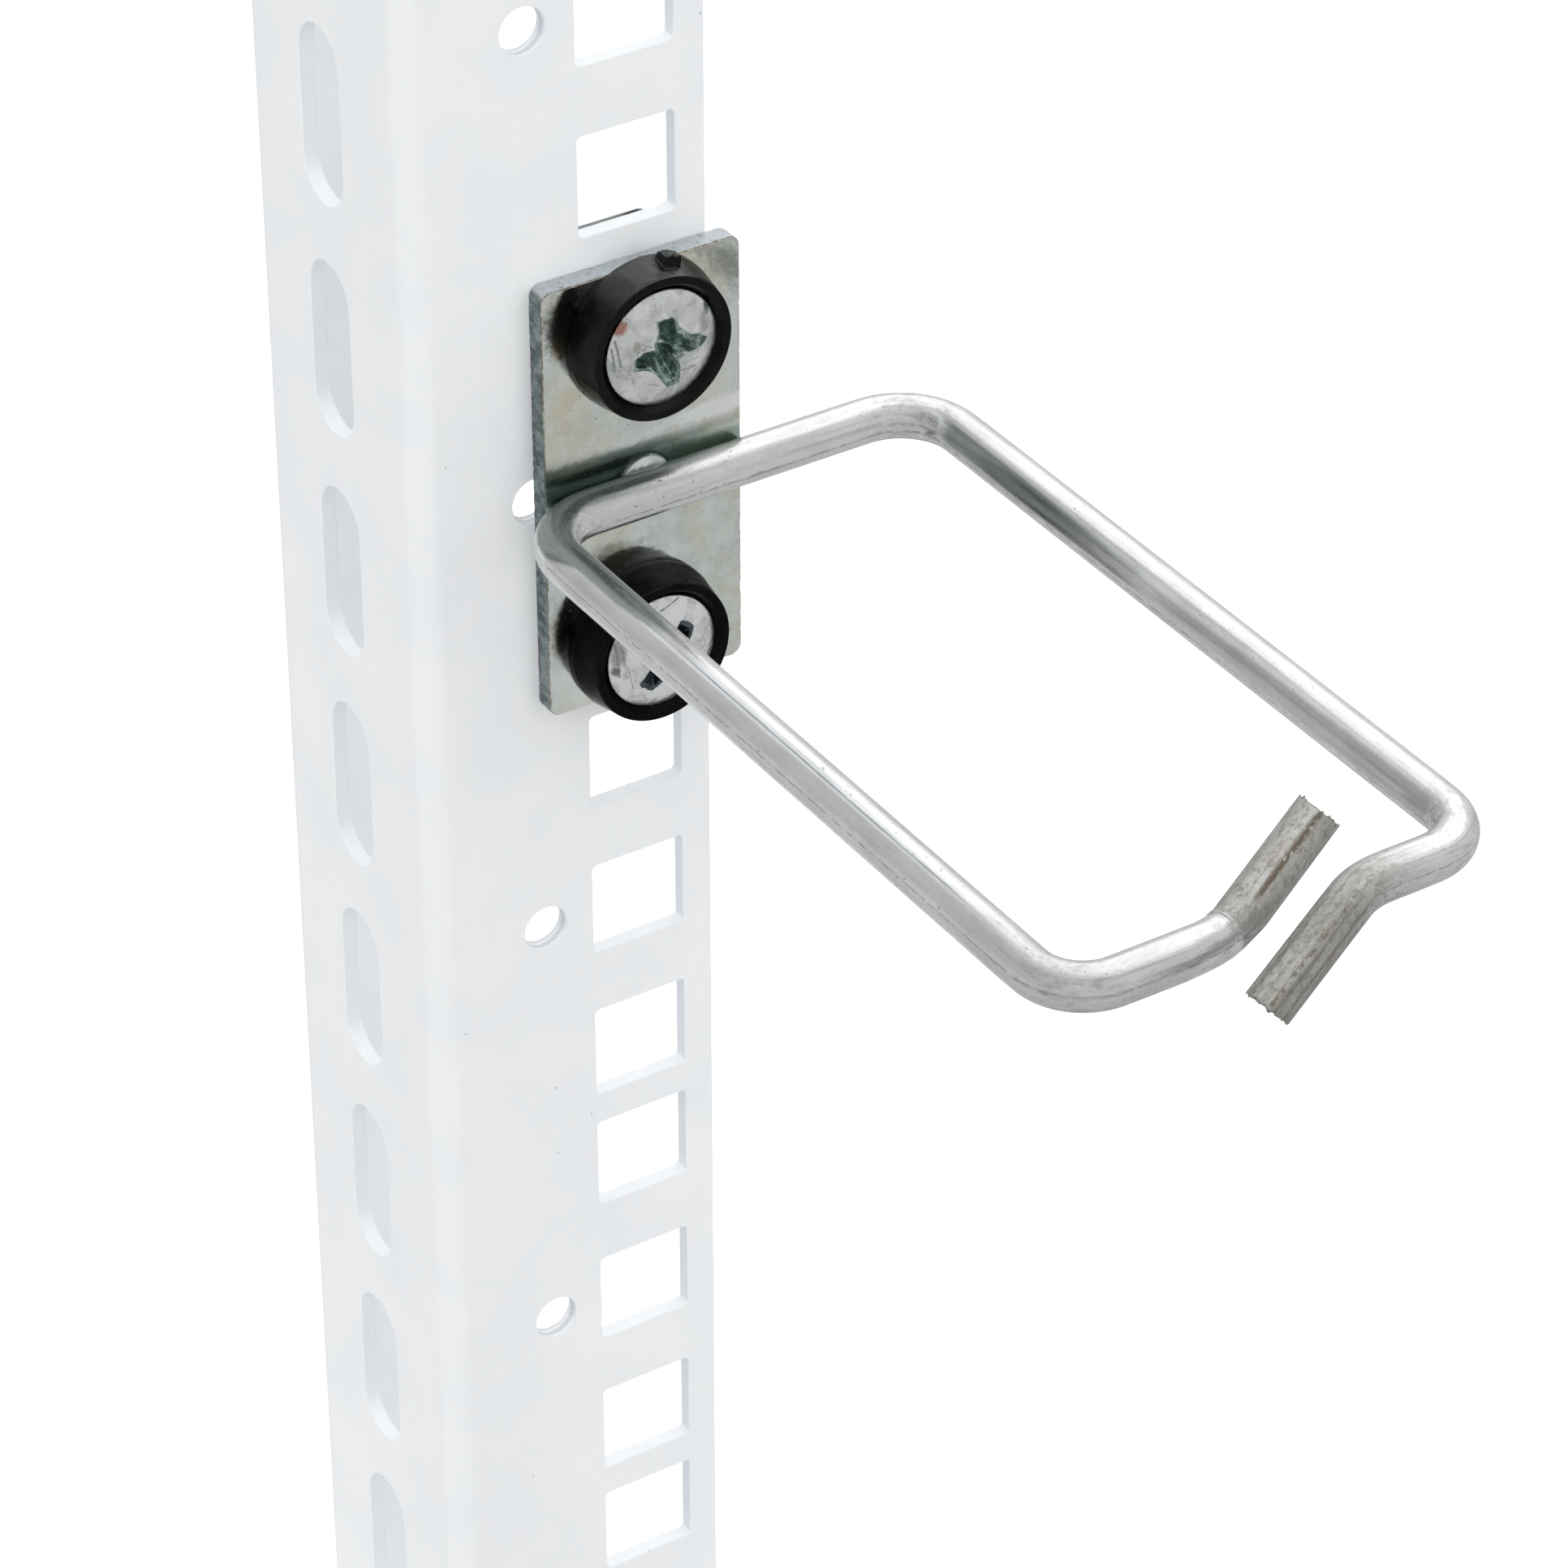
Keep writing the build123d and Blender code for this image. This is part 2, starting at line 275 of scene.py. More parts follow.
def sheet(path, thickness, outline, holes, lip, creases=(), ragged=None):
    """A sheet with rounded edges, made flat and folded along a path.

    The outline and each hole are (points, outward normals), and may be followed by {options}:
    "lip" is the edge's radius, "wall" the rows of its wall, and "thread" is (pitch, height).
    creases are lengths where the fold needs edges. ragged moves the outline's points outwards.
    Returns what add_piece needs.
    """
    flat, lean, wear, is_wall, faces, rings = [], [], [], [], [], []
    for number, (points, outward, *options) in enumerate([outline] + holes):
        options = dict(*options)
        rows = wall_rows(thickness, options.get("lip", lip), 1 if number else -1, options.get("wall", 1))
        top, count = len(flat), len(points)
        for offset, depth, across, through, worn in rows:
            push = np.full(count, offset)
            if "thread" in options:
                pitch, height = options["thread"]
                phase = (depth / pitch - np.arange(count) / count) % 1.0
                fade = smooth_step(thickness / 2 - abs(depth), 0.08, 0.35)
                push += height * fade * np.clip(1.25 - np.abs(phase * 2 - 1) * 2.0, 0, 1)
            if ragged and number == 0:
                push += ragged(points, depth)
            flat += xyz(*(points + outward * push[:, None]).T, depth).tolist()
            lean += xyz(*outward.T * across, through).tolist()
            wear += [worn] * count
            is_wall += [1.0 - abs(through)] * count
        for row in range(len(rows) - 1):
            faces += ring_faces(top + row * count, top + (row + 1) * count, count)
        rings.append((top, top + (len(rows) - 1) * count, count))
    for end, facing in ((0, 1), (1, -1)):
        ids, owner, rim = [], [], []
        for number, ring in enumerate(rings):
            count = ring[2]
            rim += [(len(ids) + k, len(ids) + (k + 1) % count) for k in range(count)]
            ids += range(ring[end], ring[end] + count)
            owner += [number] * count
        places = [flat[i][:2] for i in ids]
        edges = rim + [edge for crease in creases for edge in crease_edges(places, rim, crease)]
        spots, _, triangles, origins = geometry.delaunay_2d_cdt([Vector(p) for p in places], edges, [], 0, 1e-5)[:4]
        middles = np.array([[spots[i][:] for i in triangle] for triangle in triangles]).mean(1)
        chosen = [(ids[old[0]], owner[old[0]]) if old else None for old in origins]
        for triangle, kept in zip(triangles, inside(middles, np.array(places[:rings[0][2]]))):
            for i in triangle:
                if chosen[i] is None:
                    chosen[i] = (len(flat), -1)
                    flat.append((*spots[i], facing * thickness / 2))
                    lean.append((0, 0, facing))
                    wear.append(0.0)
                    is_wall.append(0.0)
            owners = {chosen[i][1] for i in triangle}
            in_hole = len(owners) == 1 and min(owners) > 0
            if kept and not in_hole:
                faces.append([chosen[i][0] for i in triangle])
    flat, lean = np.array(flat), np.array(lean)
    place, way, left = path.at(flat[:, 0])
    verts = np.hstack([place + left * flat[:, 2:], flat[:, 1:2]])
    normals = np.hstack([way * lean[:, :1] + left * lean[:, 2:], lean[:, 1:2]])
    normals /= np.linalg.norm(normals, axis=1)[:, None]
    return {"verts": verts, "faces": faces, "normals": normals, "wear": wear, "wall": is_wall}


# ---------------------------------------------------------------- materials

class Signal:
    """A shader value that adds, subtracts and multiplies like a number."""

    def __init__(self, finish, socket):
        self.finish, self.socket = finish, socket

    def __add__(self, other):
        return self.finish.math("ADD", self, other)

    def __sub__(self, other):
        return self.finish.math("SUBTRACT", self, other)

    def __rsub__(self, other):
        return self.finish.math("SUBTRACT", other, self)

    def __mul__(self, other):
        return self.finish.math("MULTIPLY", self, other)

    def __abs__(self):
        return self.finish.math("ABSOLUTE", self)


class Finish:
    """Writes the nodes of one material, or of the world. Its colour is built up coat by coat."""

    def __init__(self, name, owner=None):
        self.owner = owner or bpy.data.materials.new(name)
        self.owner.use_nodes = True
        self.tree = self.owner.node_tree
        self.tree.nodes.clear()
        self.place = self.vector("SCALE", self.node("TexCoord", "Object"), 1 / MM)
        self.z = self.parts(self.place)[2]
        self.facing = self.parts(self.node("NewGeometry", "Normal"))

    def node(self, kind, output=0, settings=(), **inputs):
        """Adds a node and returns one of its outputs. An input goes by name, or by number as i0."""
        made = self.tree.nodes.new("ShaderNode" + kind)
        for key, value in dict(settings).items():
            setattr(made, key, value)
        for key, value in inputs.items():
            socket = made.inputs[int(key[1:]) if key[1:].isdigit() else key.replace("_", " ")]
            if isinstance(value, Signal):
                self.tree.links.new(value.socket, socket)
            else:
                socket.default_value = (*value, 1.0) if socket.type == "RGBA" else value
        return Signal(self, made.outputs[output]) if made.outputs else None

    def math(self, operation, a, b=0.0, clamp=False):
        return self.node("Math", 0, {"operation": operation, "use_clamp": clamp}, i0=a, i1=b)

    def vector(self, operation, a, b=(0, 0, 0)):
        second = {"i3" if operation == "SCALE" else "i1": b}
        output = 1 if operation in ("DOT_PRODUCT", "LENGTH") else 0
        return self.node("VectorMath", output, {"operation": operation}, i0=a, **second)

    def parts(self, vector):
        return [self.node("SeparateXYZ", k, Vector=vector) for k in range(3)]

    def noise(self, scale, detail, rough, vector=None, stretch=None, shift=0.0, distortion=0.0):
        where = vector or self.place
        if stretch:
            where = self.vector("MULTIPLY", where, stretch)
        if shift:
            where = self.vector("ADD", where, (shift, shift * 1.7, shift * 2.3))
        return self.node("TexNoise", Vector=where, Scale=scale, Detail=detail, Roughness=rough,
                         Distortion=distortion)

    def between(self, value, low, high, out_low=0.0, out_high=1.0):
        """Runs smoothly from out_low to out_high as the value goes from low to high."""
        return self.node("MapRange", 0, {"interpolation_type": "SMOOTHSTEP"}, Value=value,
                         From_Min=low, From_Max=high, To_Min=out_low, To_Max=out_high)

    def mix(self, factor, a, b):
        return self.node("Mix", 2, {"data_type": "RGBA"}, i0=factor, i6=a, i7=b)

    def coat(self, tint, mask, strength=None):
        """Lays a tint over the colour so far."""
        self.colour = self.mix(mask * strength if strength else mask, self.colour, tint)

    def attribute(self, name, output="Fac"):
        return self.node("Attribute", output, {"attribute_name": name})

    def any_of(self, first, *others):
        for other in others:
            first = self.math("MAXIMUM", first, other)
        return first

    def specks(self, scale, size, share, vector=None):
        """Round specks in a share of the cells of a Voronoi pattern."""
        distance, tint = (self.node("TexVoronoi", output, Scale=scale, Vector=vector or self.place)
                          for output in ("Distance", "Color"))
        return self.between(distance, size, size * 0.5) * self.math("LESS_THAN", self.parts(tint)[0], share)

    def scratch(self, first, last, width):
        """A line between two (x, z) points, its width uneven."""
        run = Vector((last[0] - first[0], 0, last[1] - first[1]))
        flat = self.vector("MULTIPLY", self.place, (1, 0, 1))
        away = self.vector("SUBTRACT", flat, (first[0], 0, first[1]))
        share = self.math("DIVIDE", self.vector("DOT_PRODUCT", away, run), run.length_squared, clamp=True)
        distance = self.vector("LENGTH", self.vector("SUBTRACT", away, self.vector("SCALE", run, share)))
        wobble = self.noise(2.3, 3, 0.6, shift=41) * (2 * width) - width
        return self.between(distance + wobble, width, width * 0.3)

    def stain(self, centre, radius, stretch, soft, ragged, scale):
        """A blotch round an (x, z) point, with a ragged edge."""
        away = self.vector("SUBTRACT", self.place, (centre[0], 0, centre[1]))
        distance = self.vector("LENGTH", self.vector("MULTIPLY", away, (stretch[0], 0, stretch[1])))
        change = self.noise(scale, 4, 0.65) * (2 * radius * ragged) - radius * ragged
        return self.between(distance + change, radius * (1 + soft), radius * (1 - soft))

    def finish(self, bumps, **inputs):
        """bumps is a list of (height, depth in millimetres), coarse to fine."""
        before = {}
        for height, depth in bumps:
            before = {"Normal": self.node("Bump", Height=height, Distance=depth * MM, Strength=1.0, **before)}
        self.surface("Material", self.node("BsdfPrincipled", Base_Color=self.colour, **before, **inputs))
        return self.owner

    def surface(self, kind, shader):
        self.node("Output" + kind, Surface=shader)


def powder_coat():
    """Very pale grey powder coat: faint mottling, orange peel, small dark specks, rubbed edges, painted shade on side
    walls facing -x, and a faint painted glow.
    """
    f = Finish("powder_coat")
    mottle = f.noise(0.09, 4, 0.6)
    fine = f.noise(0.8, 4, 0.6, shift=3)
    f.colour = f.mix(f.between(mottle, 0.35, 0.68), (0.875, 0.9, 0.925), (0.92, 0.935, 0.945))
    f.coat((0.85, 0.87, 0.89), f.between(fine, 0.4, 0.75, 0, 0.22))
    streak = f.noise(1.0, 3, 0.6, stretch=(1.2, 1.2, 0.05), shift=5)
    f.coat((0.83, 0.86, 0.85), f.between(streak, 0.55, 0.8, 0, 0.2))
    specks = f.specks(0.55, 0.09, 0.09)
    dust = f.specks(1.7, 0.13, 0.05)
    f.coat((0.25, 0.24, 0.22), specks, 0.55)
    f.coat((0.45, 0.45, 0.44), dust, 0.22)
    rub = f.attribute("wear") * f.between(f.noise(0.7, 4, 0.6, shift=9), 0.45, 0.7)
    f.coat((0.62, 0.65, 0.66), rub, 0.3)
    wall = f.between(f.attribute("wall"), 0.3, 0.8)
    # painted shade: side walls that face -x and not up are painted darker blue-grey
    painted_wall_shade = wall * f.between(f.facing[2], 0.7, 0.2) * f.between(f.facing[0], 0.2, -0.8, 0.35, 1.0)
    f.coat((0.58, 0.635, 0.69), painted_wall_shade, 0.6)
    rough = f.between(f.noise(0.5, 3, 0.6, shift=2), 0.3, 0.7, 0.36, 0.52)
    # painted glow: the faint emission lifts the coat's shade, so hollows stay nearly as pale as open faces
    return f.finish([(mottle, 0.1), (f.noise(1.6, 3, 0.5, shift=1), 0.022), (f.noise(7.0, 2, 0.5), 0.004)],
                    Roughness=rough, Specular_IOR_Level=0.45, Emission_Color=(0.97, 0.985, 1.0),
                    Emission_Strength=0.11)


# stains on the plate's front, and painted shadows and highlights: ((x, z), radius, stretch, colour, strength)
# painted shadows: the near-black blotches at (-7.6, 17.4), (-7.0, 20.0), (-8.3, -12.6) and (-8.0, -13.6), left of the
# washers, stand for the washers' shadows and reflections
PLATE_STAINS_AND_PAINTED_LIGHT = [((-7.6, 17.4), 1.5, (0.9, 0.55), (0.045, 0.042, 0.03), 0.9),
                ((-8.2, 15.2), 0.6, (1, 0.6), (0.24, 0.18, 0.1), 0.55),
                ((-7.0, 20.0), 0.7, (0.7, 1), (0.1, 0.09, 0.06), 0.6),
                ((-8.3, -12.6), 1.1, (1.0, 0.4), (0.1, 0.075, 0.04), 0.7),
                ((-8.0, -13.6), 0.9, (1.0, 0.45), (0.04, 0.035, 0.02), 0.8),
                ((-3.6, -7.0), 1.4, (0.45, 0.9), (0.12, 0.1, 0.06), 0.65),
                ((-5.2, -20.1), 0.5, (0.7, 1.2), (0.05, 0.05, 0.04), 0.85),
                # painted highlights: these two pale blotches above the wire stand for its bright top mirrored in the
                # plate
                ((7.9, 4.9), 0.8, (0.22, 1.0), (1.0, 1.0, 1.0), 0.85),
                ((4.2, 4.7), 0.7, (0.2, 1.5), (0.86, 0.93, 0.95), 0.55),
                ((-7.6, 7.4), 0.55, (1, 0.7), (0.55, 0.4, 0.3), 0.35),
                ((-6.8, 5.0), 2.4, (0.6, 1.0), (0.72, 0.66, 0.48), 0.3),
                ((8.2, 18.9), 1.2, (1, 0.8), (0.36, 0.38, 0.36), 0.35),
                ((-6.5, -18.5), 2.6, (0.8, 0.6), (0.88, 0.91, 0.86), 0.6),
                ((7.5, 10.0), 2.4, (1.0, 0.4), (0.8, 0.84, 0.84), 0.35)]


def zinc_sheet():
    """Zinc-plated sheet: half-dull, yellowish clouds, dark pits, rough sheared edge faces painted lighter where they
    face up, a painted dark reflection of the wire, and painted shadows and highlights.
    """
    f = Finish("zinc_sheet")
    cloud = f.noise(0.13, 4, 0.62)
    haze = f.noise(0.42, 5, 0.65, shift=4)
    grain = f.noise(3.2, 5, 0.7, shift=2)
    f.colour = f.mix(f.between(haze, 0.36, 0.66), (0.74, 0.8, 0.775), (0.64, 0.68, 0.645))
    yellow = f.between(cloud, 0.45, 0.62) * f.between(haze, 0.3, 0.6, 0.3, 1.0)
    f.coat((0.74, 0.69, 0.52), yellow, 0.65)
    f.coat((0.4, 0.43, 0.4), f.between(grain, 0.52, 0.72, 0, 0.35))
    pits = f.any_of(f.specks(1.3, 0.11, 0.16), f.specks(3.1, 0.16, 0.07))
    f.coat((0.12, 0.12, 0.1), pits, 0.75)
    wall = f.between(f.attribute("wall"), 0.35, 0.8)
    striae = f.noise(1.0, 4, 0.7, stretch=(6.0, 0.7, 1.2), shift=7)
    crumble = f.noise(2.2, 5, 0.75, shift=8)
    sheared = f.mix(f.between(striae, 0.35, 0.65), (0.12, 0.16, 0.16), (0.38, 0.44, 0.44))
    # painted light: sheared faces that face up are painted pale blue-grey, as if lit from above
    up = f.between(f.facing[2], 0.4, 0.8)
    sheared = f.mix(up * 0.75, sheared, (0.78, 0.82, 0.86))
    sheared = f.mix(f.between(crumble, 0.52, 0.7, 0, 0.75), sheared, (0.09, 0.1, 0.09))
    f.coat(sheared, wall)
    burr = f.between(f.attribute("wear"), 0.3, 0.9) * f.between(f.noise(1.9, 4, 0.7, shift=11), 0.38, 0.55)
    f.coat((0.27, 0.2, 0.1), burr, 0.9)
    rough = f.between(haze, 0.3, 0.7, 0.07, 0.16)
    rough = rough + wall * 0.35 + pits * 0.25
    # painted reflection: a dark teal band on the plate just above the wire, its top lower towards +x, stands for the
    # wire mirrored in the plate
    across = f.noise(0.35, 2, 0.5, shift=19) * 1.2 + f.z
    top = f.parts(f.place)[0] * -0.07 + 4.1
    painted_wire_reflection = f.between(across - top, 0.9, -1.0) * f.between(across, 0.3, 1.0) * (1.0 - wall)
    f.coat((0.1, 0.19, 0.16), painted_wire_reflection, 0.78)
    for centre, radius, stretch, tint, strength in PLATE_STAINS_AND_PAINTED_LIGHT:
        f.coat(tint, f.stain(centre, radius, stretch, 0.45, 0.7, 1.3) * (1.0 - wall), strength)
    return f.finish([(cloud, 0.08), (grain, 0.004), (crumble * wall, 0.16), (1.0 - pits, 0.02)],
                    Roughness=rough, Metallic=1.0)


def zinc_wire():
    """Zinc-plated drawn wire: lengthwise draw marks, pits, brown dirt, dull tails, painted dark reflections and a
    painted highlight line.
    """
    f = Finish("zinc_wire")
    roll = f.attribute("roll", "Vector")
    old, shade, dirt, cut = (f.attribute(name) for name in ("old", "shade", "dirt", "cut"))
    draw = f.noise(1.0, 5, 0.65, vector=roll, stretch=(2.6, 2.6, 0.05))
    lines = f.noise(1.0, 3, 0.6, vector=roll, stretch=(7.0, 7.0, 0.12), shift=3)
    grain = f.noise(2.6, 3, 0.6, vector=roll, shift=5)
    cloud = f.noise(0.5, 4, 0.6, vector=roll, stretch=(0.8, 0.8, 0.35), shift=8)
    jag = f.noise(1.0, 4, 0.7, vector=roll, stretch=(1.6, 1.6, 0.9), shift=25)
    f.colour = f.mix(f.between(cloud, 0.35, 0.68), (0.86, 0.865, 0.87), (0.74, 0.745, 0.74))
    f.coat((0.47, 0.48, 0.475), f.between(draw, 0.5, 0.72, 0, 0.55))
    f.coat((0.9, 0.91, 0.91), f.between(lines, 0.56, 0.72, 0, 0.45))
    aged = f.mix(f.between(cloud, 0.4, 0.62), (0.43, 0.44, 0.43), (0.35, 0.34, 0.31))
    aged = f.mix(f.between(grain, 0.45, 0.7, 0, 0.4), aged, (0.62, 0.63, 0.63))
    aged = f.mix(f.between(draw, 0.52, 0.62, 0, 0.7), aged, (0.26, 0.24, 0.2))
    aged = f.mix(f.between(lines, 0.58, 0.66, 0, 0.5), aged, (0.24, 0.19, 0.13))
    f.coat(aged, old, 0.85)
    pit_mask = f.between(f.noise(3.0, 5, 0.75, vector=roll, stretch=(1.0, 1.0, 0.45), shift=12), 0.6, 0.68)
    zone = f.between(f.noise(0.35, 3, 0.6, vector=roll, stretch=(1.0, 1.0, 0.3), shift=15), 0.42, 0.62)
    speck = f.specks(3.2, 0.24, 0.1, vector=roll)
    pits = f.any_of(pit_mask * zone, speck * f.between(grain, 0.42, 0.55))
    dirty = dirt * f.between(f.noise(1.7, 5, 0.75, vector=roll, stretch=(1.2, 1.2, 0.6), shift=20), 0.48, 0.64)
    # marks along the wire, each at an angle round it: two pitted lines in the ring's plane, a painted highlight line
    # and a painted dark reflection line on the left arm, and jagged brown streaks on both tails
    x, y, along = f.parts(roll)
    turn = f.math("ARCTAN2", y, x)
    straight = turn + (jag * 0.05 - 0.025)
    turn = turn + (jag * 0.22 - 0.11)
    left = f.between(along, 40, 48) * f.between(along, 92, 82)
    tail = f.between(along, 0.5, 2.5) * f.between(along, 16.5, 14.0)
    outer_tail = f.between(along, 234, 239)
    streak = f.between(draw, 0.4, 0.6, 0.22, 0.52)
    f.coat((0.1, 0.105, 0.09), outer_tail, streak)
    broken = f.between(jag, 0.38, 0.55)
    thin = left * f.between(lines, 0.35, 0.5, 0.45, 1.0)
    seams = [(turn, 0.2, 0.06, (0.36, 0.37, 0.36), broken * 0.75),
             (turn, -2.95, 0.07, (0.34, 0.36, 0.35), broken * 0.75),
             # a painted dark reflection line and a painted white highlight line along the left arm
             (straight, 1.25, 0.05, (0.26, 0.31, 0.33), thin * 0.9),
             (straight, 1.12, 0.05, (1.0, 1.0, 1.0), thin * 0.9),
             (turn, 1.02, 0.17, (0.14, 0.105, 0.075), tail * f.between(jag, 0.4, 0.48)),
             (turn, 1.05, 0.12, (0.2, 0.17, 0.13), outer_tail * f.between(jag, 0.44, 0.52)),
             (turn, 1.98, 0.1, (0.22, 0.19, 0.15), outer_tail * f.between(jag, 0.5, 0.58)),
             (turn, 0.33, 0.09, (0.24, 0.21, 0.17), outer_tail * f.between(jag, 0.36, 0.46))]
    for where, middle, width, tint, strength in seams:
        f.coat(tint, f.between(abs(where - middle), width, width * 0.35), strength)
    f.coat((0.22, 0.215, 0.18), pits, 0.6)
    f.coat((0.17, 0.14, 0.095), dirty, 0.75)
    # painted shade: where the 'shade' mask is weak the wire is tinted a little darker, and where it is strong a ragged
    # dark band stands for the plate and washers mirrored in it
    f.coat((0.05, 0.06, 0.055), f.math("MINIMUM", shade, 0.28))
    painted_dark_reflection = f.between(shade + (jag * 0.5 - 0.25), 0.3, 0.62)
    f.coat((0.185, 0.215, 0.205), painted_dark_reflection, shade * 0.9)
    sheared = f.mix(f.between(grain, 0.38, 0.62), (0.2, 0.18, 0.14), (0.6, 0.59, 0.55))
    f.coat(sheared, cut)
    rough = f.between(grain, 0.3, 0.7, 0.13, 0.22)
    rough = rough + f.any_of(pits, dirty, cut, old) * 0.26
    metal = f.any_of(old, cut) * -0.28 + 0.72
    height = 1.0 - f.any_of(pits, dirty)
    return f.finish([(draw, 0.024), (lines, 0.006), (grain, 0.0018), (height, 0.02)], Roughness=rough,
                    Metallic=metal)


# scratches on the screws' heads: (first point, last point, width, strength)
HEAD_MARKS = [((1.2, 12.5), (3.0, 12.35), 0.07, 0.6), ((1.3, 13.2), (3.1, 13.1), 0.06, 0.5),
              ((-1.9, 12.1), (-0.9, 11.6), 0.06, 0.6), ((-3.0, 16.4), (-1.6, 15.6), 0.06, 0.6),
              ((-2.9, 15.4), (-2.2, 15.7), 0.09, 0.6), ((-4.6, 16.6), (-4.3, 14.3), 0.13, 0.7),
              ((-4.95, 16.0), (-4.75, 13.9), 0.1, 0.7), ((-3.5, 13.5), (-3.0, 11.9), 0.05, 0.4),
              ((0.0, 19.0), (0.3, 17.6), 0.05, 0.35), ((1.4, 16.3), (2.3, 15.6), 0.08, 0.5),
              ((1.2, 17.3), (0.9, 18.1), 0.05, 0.3), ((-0.7, -11.1), (1.3, -10.6), 0.1, 0.75),
              ((-5.1, -13.2), (-4.9, -16.4), 0.12, 0.6), ((-4.6, -13.6), (-4.3, -16.8), 0.09, 0.5),
              ((-4.3, -15.2), (-3.7, -17.9), 0.06, 0.6), ((-3.0, -15.9), (-2.6, -16.6), 0.05, 0.4),
              ((0.2, -19.3), (1.2, -18.7), 0.05, 0.3)]

# and stains on them, as on the plate
HEAD_STAINS = [((-4.15, 17.75), 0.55, (0.8, 1.0), (0.42, 0.16, 0.11), 0.85),
               ((4.35, 17.4), 0.42, (1.4, 0.7), (0.08, 0.14, 0.14), 0.8),
               ((3.9, 16.2), 0.65, (1.0, 0.8), (0.45, 0.45, 0.44), 0.6),
               ((-2.9, 15.9), 0.38, (1, 1), (0.3, 0.28, 0.2), 0.6),
               ((2.9, 16.0), 0.28, (1, 1), (0.97, 0.97, 0.97), 0.7),
               ((-4.9, -14.0), 0.8, (1.3, 0.6), (0.26, 0.27, 0.28), 0.65),
               ((-5.2, -15.9), 0.4, (1, 1), (0.12, 0.13, 0.15), 0.8),
               ((3.4, -13.9), 0.7, (1, 1), (0.6, 0.58, 0.57), 0.45)]


def screw_zinc():
    """Bright zinc plating: brushed clouds, scratches and blots, lower parts painted lighter, and the recess dark
    green-grey, partly its own tone and partly painted shade.
    """
    f = Finish("screw_zinc")
    cloud = f.noise(0.55, 5, 0.65)
    grain = f.noise(4.0, 4, 0.65, shift=2)
    f.colour = f.mix(f.between(cloud, 0.35, 0.65), (0.85, 0.88, 0.855), (0.72, 0.75, 0.73))
    # painted light: parts below the plate's middle, the lower screw and nut, are painted lighter, as if better lit
    low = f.between(f.z, 3, -3)
    f.coat((0.97, 0.985, 1.0), low, 0.85)
    scratch_a = f.noise(1.0, 4, 0.6, stretch=(9.0, 1.0, 0.9), shift=6, distortion=0.6)
    scratch_b = f.noise(1.0, 4, 0.6, stretch=(1.1, 1.0, 8.0), shift=9, distortion=0.8)
    thin = f.any_of(f.between(abs(scratch_a - 0.5), 0.01, 0.002),
                    f.between(abs(scratch_b - 0.5), 0.008, 0.002))
    scratches = thin * f.between(f.noise(0.6, 2, 0.5, shift=14), 0.48, 0.62)
    f.coat((0.3, 0.33, 0.33), scratches, 0.6)
    blots = f.between(f.noise(0.75, 5, 0.7, shift=17), 0.6, 0.7)
    f.coat((0.42, 0.44, 0.43), blots, 0.3)
    for first, last, width, strength in HEAD_MARKS:
        f.coat((0.16, 0.18, 0.18), f.scratch(first, last, width), strength)
    for centre, radius, stretch, tint, strength in HEAD_STAINS:
        f.coat(tint, f.stain(centre, radius, stretch, 0.35, 0.8, 1.6), strength)
    # the recess is painted dark green-grey in uneven facets, partly its own tone and partly painted shade, and darker
    # blue-black as painted shade in the lower screw
    hollow = f.attribute("hollow")
    facet = f.between(f.noise(1.4, 4, 0.65, shift=21), 0.35, 0.65)
    inner = f.mix(facet, (0.11, 0.18, 0.17), (0.54, 0.65, 0.6))
    inner = f.mix(low * 0.85, inner, (0.06, 0.07, 0.09))
    f.coat(inner, hollow)
    rough = f.between(cloud, 0.3, 0.7, 0.22, 0.32)
    rough = rough + blots * 0.12
    return f.finish([(f.noise(0.35, 3, 0.5, shift=30), 0.1), (grain, 0.006), (1.0 - scratches, 0.015)],
                    Roughness=rough, Metallic=0.95)


def black_plastic():
    """Moulded black plastic: glossy with smudges, dust on top and turned marks from the mould, its sheen painted by
    which way a face points.
    """
    f = Finish("black_plastic")
    smudge = f.noise(0.45, 4, 0.6)
    dust = f.any_of(f.specks(2.2, 0.16, 0.1), f.specks(4.5, 0.2, 0.06))
    up = f.between(f.facing[2], 0.1, 0.8)
    patch = f.between(f.noise(0.55, 4, 0.65, shift=6), 0.45, 0.62)
    dusty = dust * (up * 0.8 + 0.15) * patch
    f.colour = f.mix(f.between(smudge, 0.4, 0.7), (0.0035, 0.0035, 0.0038), (0.007, 0.0068, 0.0066))
    f.coat((0.16, 0.17, 0.15), dusty, 0.7)
    edge = f.attribute("wear") * f.between(f.noise(1.6, 4, 0.7, shift=3), 0.4, 0.65)
    f.coat((0.03, 0.028, 0.02), edge, 0.5)
    rough = f.between(f.noise(0.8, 4, 0.6, shift=9), 0.35, 0.7, 0.12, 0.28)
    rough = rough + dusty * 0.3
    # painted sheen: the specular strength is set by which way a face points, strong on faces turned up, weak on faces
    # turned to +x and on the lower washer
    shine = f.between(f.facing[2], 0.62, 0.96, 0.1, 0.72) * f.between(f.facing[0], 0.6, 0.0, 0.1, 1.0)
    shine = shine * f.between(f.z, -12, 2, 0.3, 1.0)
    return f.finish([(smudge, 0.04), (f.noise(2.4, 3, 0.6, shift=12), 0.006), (dusty, 0.02)],
                    Roughness=rough, Specular_IOR_Level=shine)


